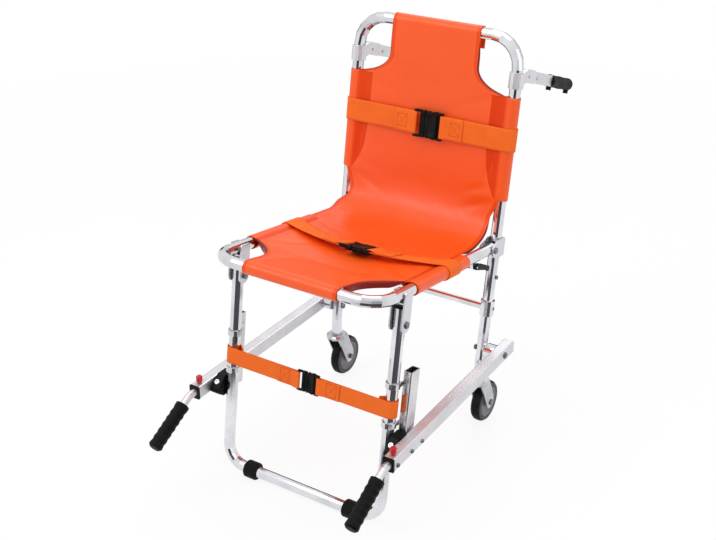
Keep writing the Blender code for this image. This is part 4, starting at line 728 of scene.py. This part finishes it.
def socketShape():
    # waisted body with a sunk face, two arms, the strap's bar and the bar that keeps it flat
    b = buckles
    deep, rim = b["thick"] / 2, b["rim"]
    face = rounded(-deep, deep, 1.5) + [(deep, rim), (deep - b["sunk"] * 0.4, rim + 0.3),
                                        (deep - b["sunk"], rim + 1.2)]
    shapes = [block(b["socketBody"], b["high"], face, 6, notch=b["notchDeep"])]
    shapes += [arm(b["socketArm"], hand) for hand in (-1, 1)]
    shapes += [rod(b["barAt"], b["barOut"], b["barRadius"]), rod(b["keeperAt"], b["keeperOut"], b["keeperRadius"])]
    return joined(shapes)


def makeBuckle(name):
    # both halves on the strap's line, rolled as it is there and scaled to its width
    run = runs[name]
    tall = np.cross(run["front"], side)
    tall = unit(tall + rollOf(run, straps["buckleX"]) * tall.dot(run["across"]) * run["front"])
    front = np.cross(side, tall)
    centre = run["at"] + run["front"] * run["radius"] + side * straps["buckleX"] + sway(run, straps["buckleX"])
    for part, (points, faces) in (("plug", plugShape()), ("socket", socketShape())):
        points = centre + points @ np.stack([side, tall, front]) * millimetre * run["scale"]
        piece = putPiece(name + part.capitalize(), points, faces, finishes["black_plastic"], sharpAngle=50)
        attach(piece, run["body"])
        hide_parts(name + "_buckle_" + part)


for name in runs:
    makeBuckle(name)
print("buckles:", len(runs))


# small fasteners and end plugs, gathered into one piece for each body

fasteners = dict(postBoltZ=0.38, postBoltX=0.2085, rivetZ=0.306, rivetX=0.2118, railFaceX=0.2545,
                 railScrewY=(-0.2584, -0.2994, -0.3544), railScrewZ=0.200, legTop=0.033, seatTail=0.010,
                 legPivot=vec(0, -0.258059, 0.454849), blockFace=vec(0, -0.3209, 0.2125),
                 blockX=0.2188, blockFacing=vec(0, -0.643, 0.766), postBolt=(0.0048, 0.0032), rivet=0.0040,
                 railScrew=(0.0044, 0.0028), blockBolt=(0.0062, 0.0034),     # heads: radius, height
                 plugDome=((-0.0015, 0.90), (0.0, 0.98), (0.0012, 0.99), (0.0024, 0.90), (0.0034, 0.62),
                           (0.0037, 0.25)))     # height, share of the tube's radius


def boltHead(centre, axis, radius, height):
    # flat-sided head with an eased rim and a sunk socket
    return turned([(-0.0005, radius), (height * 0.65, radius), (height, radius * 0.84), (height, radius * 0.50),
                   (height * 0.35, radius * 0.46)], centre, axis, 24)


def rivetHead(centre, axis, radius):
    # low dome: radius cos a, height sin a
    a = np.linspace(0, 1.45, 8)
    return turned(np.stack([radius * 0.45 * np.sin(a), radius * np.cos(a)], -1), centre, axis, 24)


def endPlug(centre, axis):
    # domed plastic stopper with a lip on the tube's end
    dome = [(height, tubes["radius"] * share) for height, share in fasteners["plugDome"]]
    return turned(dome, centre, axis, 32)


def makeFasteners():
    groups = {("backFasteners", "back", "bolt_steel"): [], ("legPlugs", "legs", "black_plastic"): [],
              ("seatPlugs", "seat", "black_plastic"): [], ("clampBolts", "legs", "zinc_plate"): []}
    for hand, word in ((-1, "left"), (1, "right")):
        out = hand * side
        groups["backFasteners", "back", "bolt_steel"] += [
            boltHead(onPost(fasteners["postBoltZ"]) + out * fasteners["postBoltX"], out, *fasteners["postBolt"]),
            rivetHead(onPost(fasteners["rivetZ"]) + out * fasteners["rivetX"], out, fasteners["rivet"])]
        groups["railScrews" + word.capitalize(), "rail_" + word, "bolt_steel"] = [
            boltHead(vec(hand * fasteners["railFaceX"], y, fasteners["railScrewZ"]), out, *fasteners["railScrew"])
            for y in fasteners["railScrewY"]]
        groups["clampBolts", "legs", "zinc_plate"].append(
            boltHead(fasteners["blockFace"] + out * fasteners["blockX"], fasteners["blockFacing"],
                     *fasteners["blockBolt"]))
        tubeSide = out * tubes["half"]
        groups["legPlugs", "legs", "black_plastic"].append(
            endPlug(fasteners["legPivot"] + up * fasteners["legTop"] + tubeSide, up))
        groups["seatPlugs", "seat", "black_plastic"].append(
            endPlug(tubes["seatPivot"] - ahead * fasteners["seatTail"] + tubeSide, -ahead))
    for (name, body, slotName), shapes in groups.items():
        piece = putPiece(name, *joined(shapes), finishes[slotName])
        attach(piece, body)
    print("fasteners:", sum(len(shapes) for shapes in groups.values()))


makeFasteners()


# floor, light and camera

# a lamp has a place, watts and a size
studio = dict(floor=tint(252, 252, 252), floorSpeck=tint(246, 246, 246), floorRough=0.9, floorGrain=60,
              floorSize=14.0, floorLift=0.88, fadeFrom=1.6, fadeTo=3.2, skyLight=0.70,
              lamps=dict(keyLight=((-1.4, -1.9, 2.9), 26, 1.5), topLight=((0.2, 0.1, 3.1), 16, 1.8),
                         fillLight=((2.4, -1.0, 1.8), 8, 2.0), rearLight=((-0.45, 1.55, 2.45), 11, 0.9)),
              eye=vec(1.165, -1.9424, 1.559), target=vec(-0.014, -0.0754, 0.4347), focal=1150.968, frameWidth=716)


def seenRays(tree):
    # 1 for what is seen directly, mirrored or through something, 0 for light that falls on things
    path = addNode(tree, "ShaderNodeLightPath")
    seen = maths(tree, "MAXIMUM", path.outputs["Is Camera Ray"], path.outputs["Is Glossy Ray"])
    return maths(tree, "MAXIMUM", seen, path.outputs["Is Transmission Ray"])


def makeFloor():
    far = studio["floorSize"] / 2
    corners = np.array([[-far, -far, 0], [far, -far, 0], [far, far, 0], [-far, far, 0]])
    finish, tree, shader = startFinish("paleFloor", studio["floor"], studio["floorRough"])
    grain = cloud(tree, placed(tree), studio["floorGrain"], 3)
    tree.links.new(blendColour(tree, grain, studio["floorSpeck"], studio["floor"]), shader.inputs["Base Color"])
    # seen directly or mirrored, the floor goes most of the way to white and keeps a soft shadow
    white = addNode(tree, "ShaderNodeEmission", {"Color": (1, 1, 1, 1), "Strength": 1.0})
    away = addNode(tree, "ShaderNodeVectorMath", {0: placed(tree)}, operation="LENGTH").outputs["Value"]
    lift = span(tree, away, studio["fadeFrom"], studio["fadeTo"], studio["floorLift"], 1.0)
    mix = addNode(tree, "ShaderNodeMixShader", {0: maths(tree, "MULTIPLY", seenRays(tree), lift),
                                                1: shader.outputs[0], 2: white.outputs[0]})
    tree.links.new(mix.outputs[0], tree.nodes["Material Output"].inputs["Surface"])
    floor = putPiece("floor", corners, [[0, 1, 2, 3]], finish)


def makeLight():
    world = bpy.data.worlds.new("studioWhite")
    bpy.context.scene.world = world
    world.use_nodes = True
    tree = world.node_tree
    back = tree.nodes["Background"]
    back.inputs["Color"].default_value = (1, 1, 1, 1)
    tree.links.new(span(tree, seenRays(tree), 0, 1, studio["skyLight"], 1.0), back.inputs["Strength"])
    for name, (place, power, size) in studio["lamps"].items():
        data = bpy.data.lights.new(name, "AREA")
        data.energy = power
        data.size = size
        lamp = bpy.data.objects.new(name, data)
        bpy.context.scene.collection.objects.link(lamp)
        aim(lamp, np.array(place, float), studio["target"])


def aim(thing, eye, target):
    # local -Z towards the target, local Y up
    back = unit(eye - target)
    right = unit(np.cross(vec(0, 0, 1), back))
    turn = np.eye(4)
    turn[:3, 0], turn[:3, 1], turn[:3, 2], turn[:3, 3] = right, np.cross(back, right), back, eye
    thing.matrix_world = Matrix(turn.tolist())


def makeCamera():
    data = bpy.data.cameras.new("photoCamera")
    data.sensor_fit = "HORIZONTAL"
    data.sensor_width = 36.0
    data.lens = studio["focal"] / studio["frameWidth"] * data.sensor_width
    camera = bpy.data.objects.new("photoCamera", data)
    bpy.context.scene.collection.objects.link(camera)
    aim(camera, studio["eye"], studio["target"])
    bpy.context.scene.camera = camera


def makeCard(name, towards):
    # a dark card, out of the picture, for the bright tubes to mirror: a sector of a ring on the floor that turns
    # up at its far end
    card = dict(spread=math.radians(34), near=0.62, far=4.2, lift=0.004, wall=1.3, flatRows=9, wallRows=3,
                columns=16, plain=tint(60, 60, 64), dark=tint(48, 48, 52), pale=tint(74, 74, 78), rough=0.9,
                grain=12)
    flat, wall = card["flatRows"], card["wallRows"]
    radius = np.concatenate([np.linspace(card["near"], card["far"], flat), np.full(wall, card["far"])])[:, None]
    height = np.concatenate([np.full(flat, card["lift"]), np.linspace(0, card["wall"], wall + 1)[1:]])[:, None]
    angle = math.radians(towards) + np.linspace(-1, 1, card["columns"])[None, :] * card["spread"]
    points = np.stack(np.broadcast_arrays(radius * np.sin(angle), -radius * np.cos(angle), height), -1)
    finish, tree, shader = startFinish(name, card["plain"], card["rough"])
    grain = cloud(tree, placed(tree), card["grain"], 3)
    tree.links.new(blendColour(tree, grain, card["dark"], card["pale"]), shader.inputs["Base Color"])
    piece = putPiece(name, points, gridQuads(*points.shape[:2]), finish)
    for ray in ("camera", "diffuse", "transmission", "shadow"):
        setattr(piece, "visible_" + ray, False)


makeFloor()
makeLight()
makeCard("frontCard", 32)
makeCard("rearCard", 212)
makeCamera()
bpy.context.scene.view_settings.view_transform = "Standard"
print("studio ready")
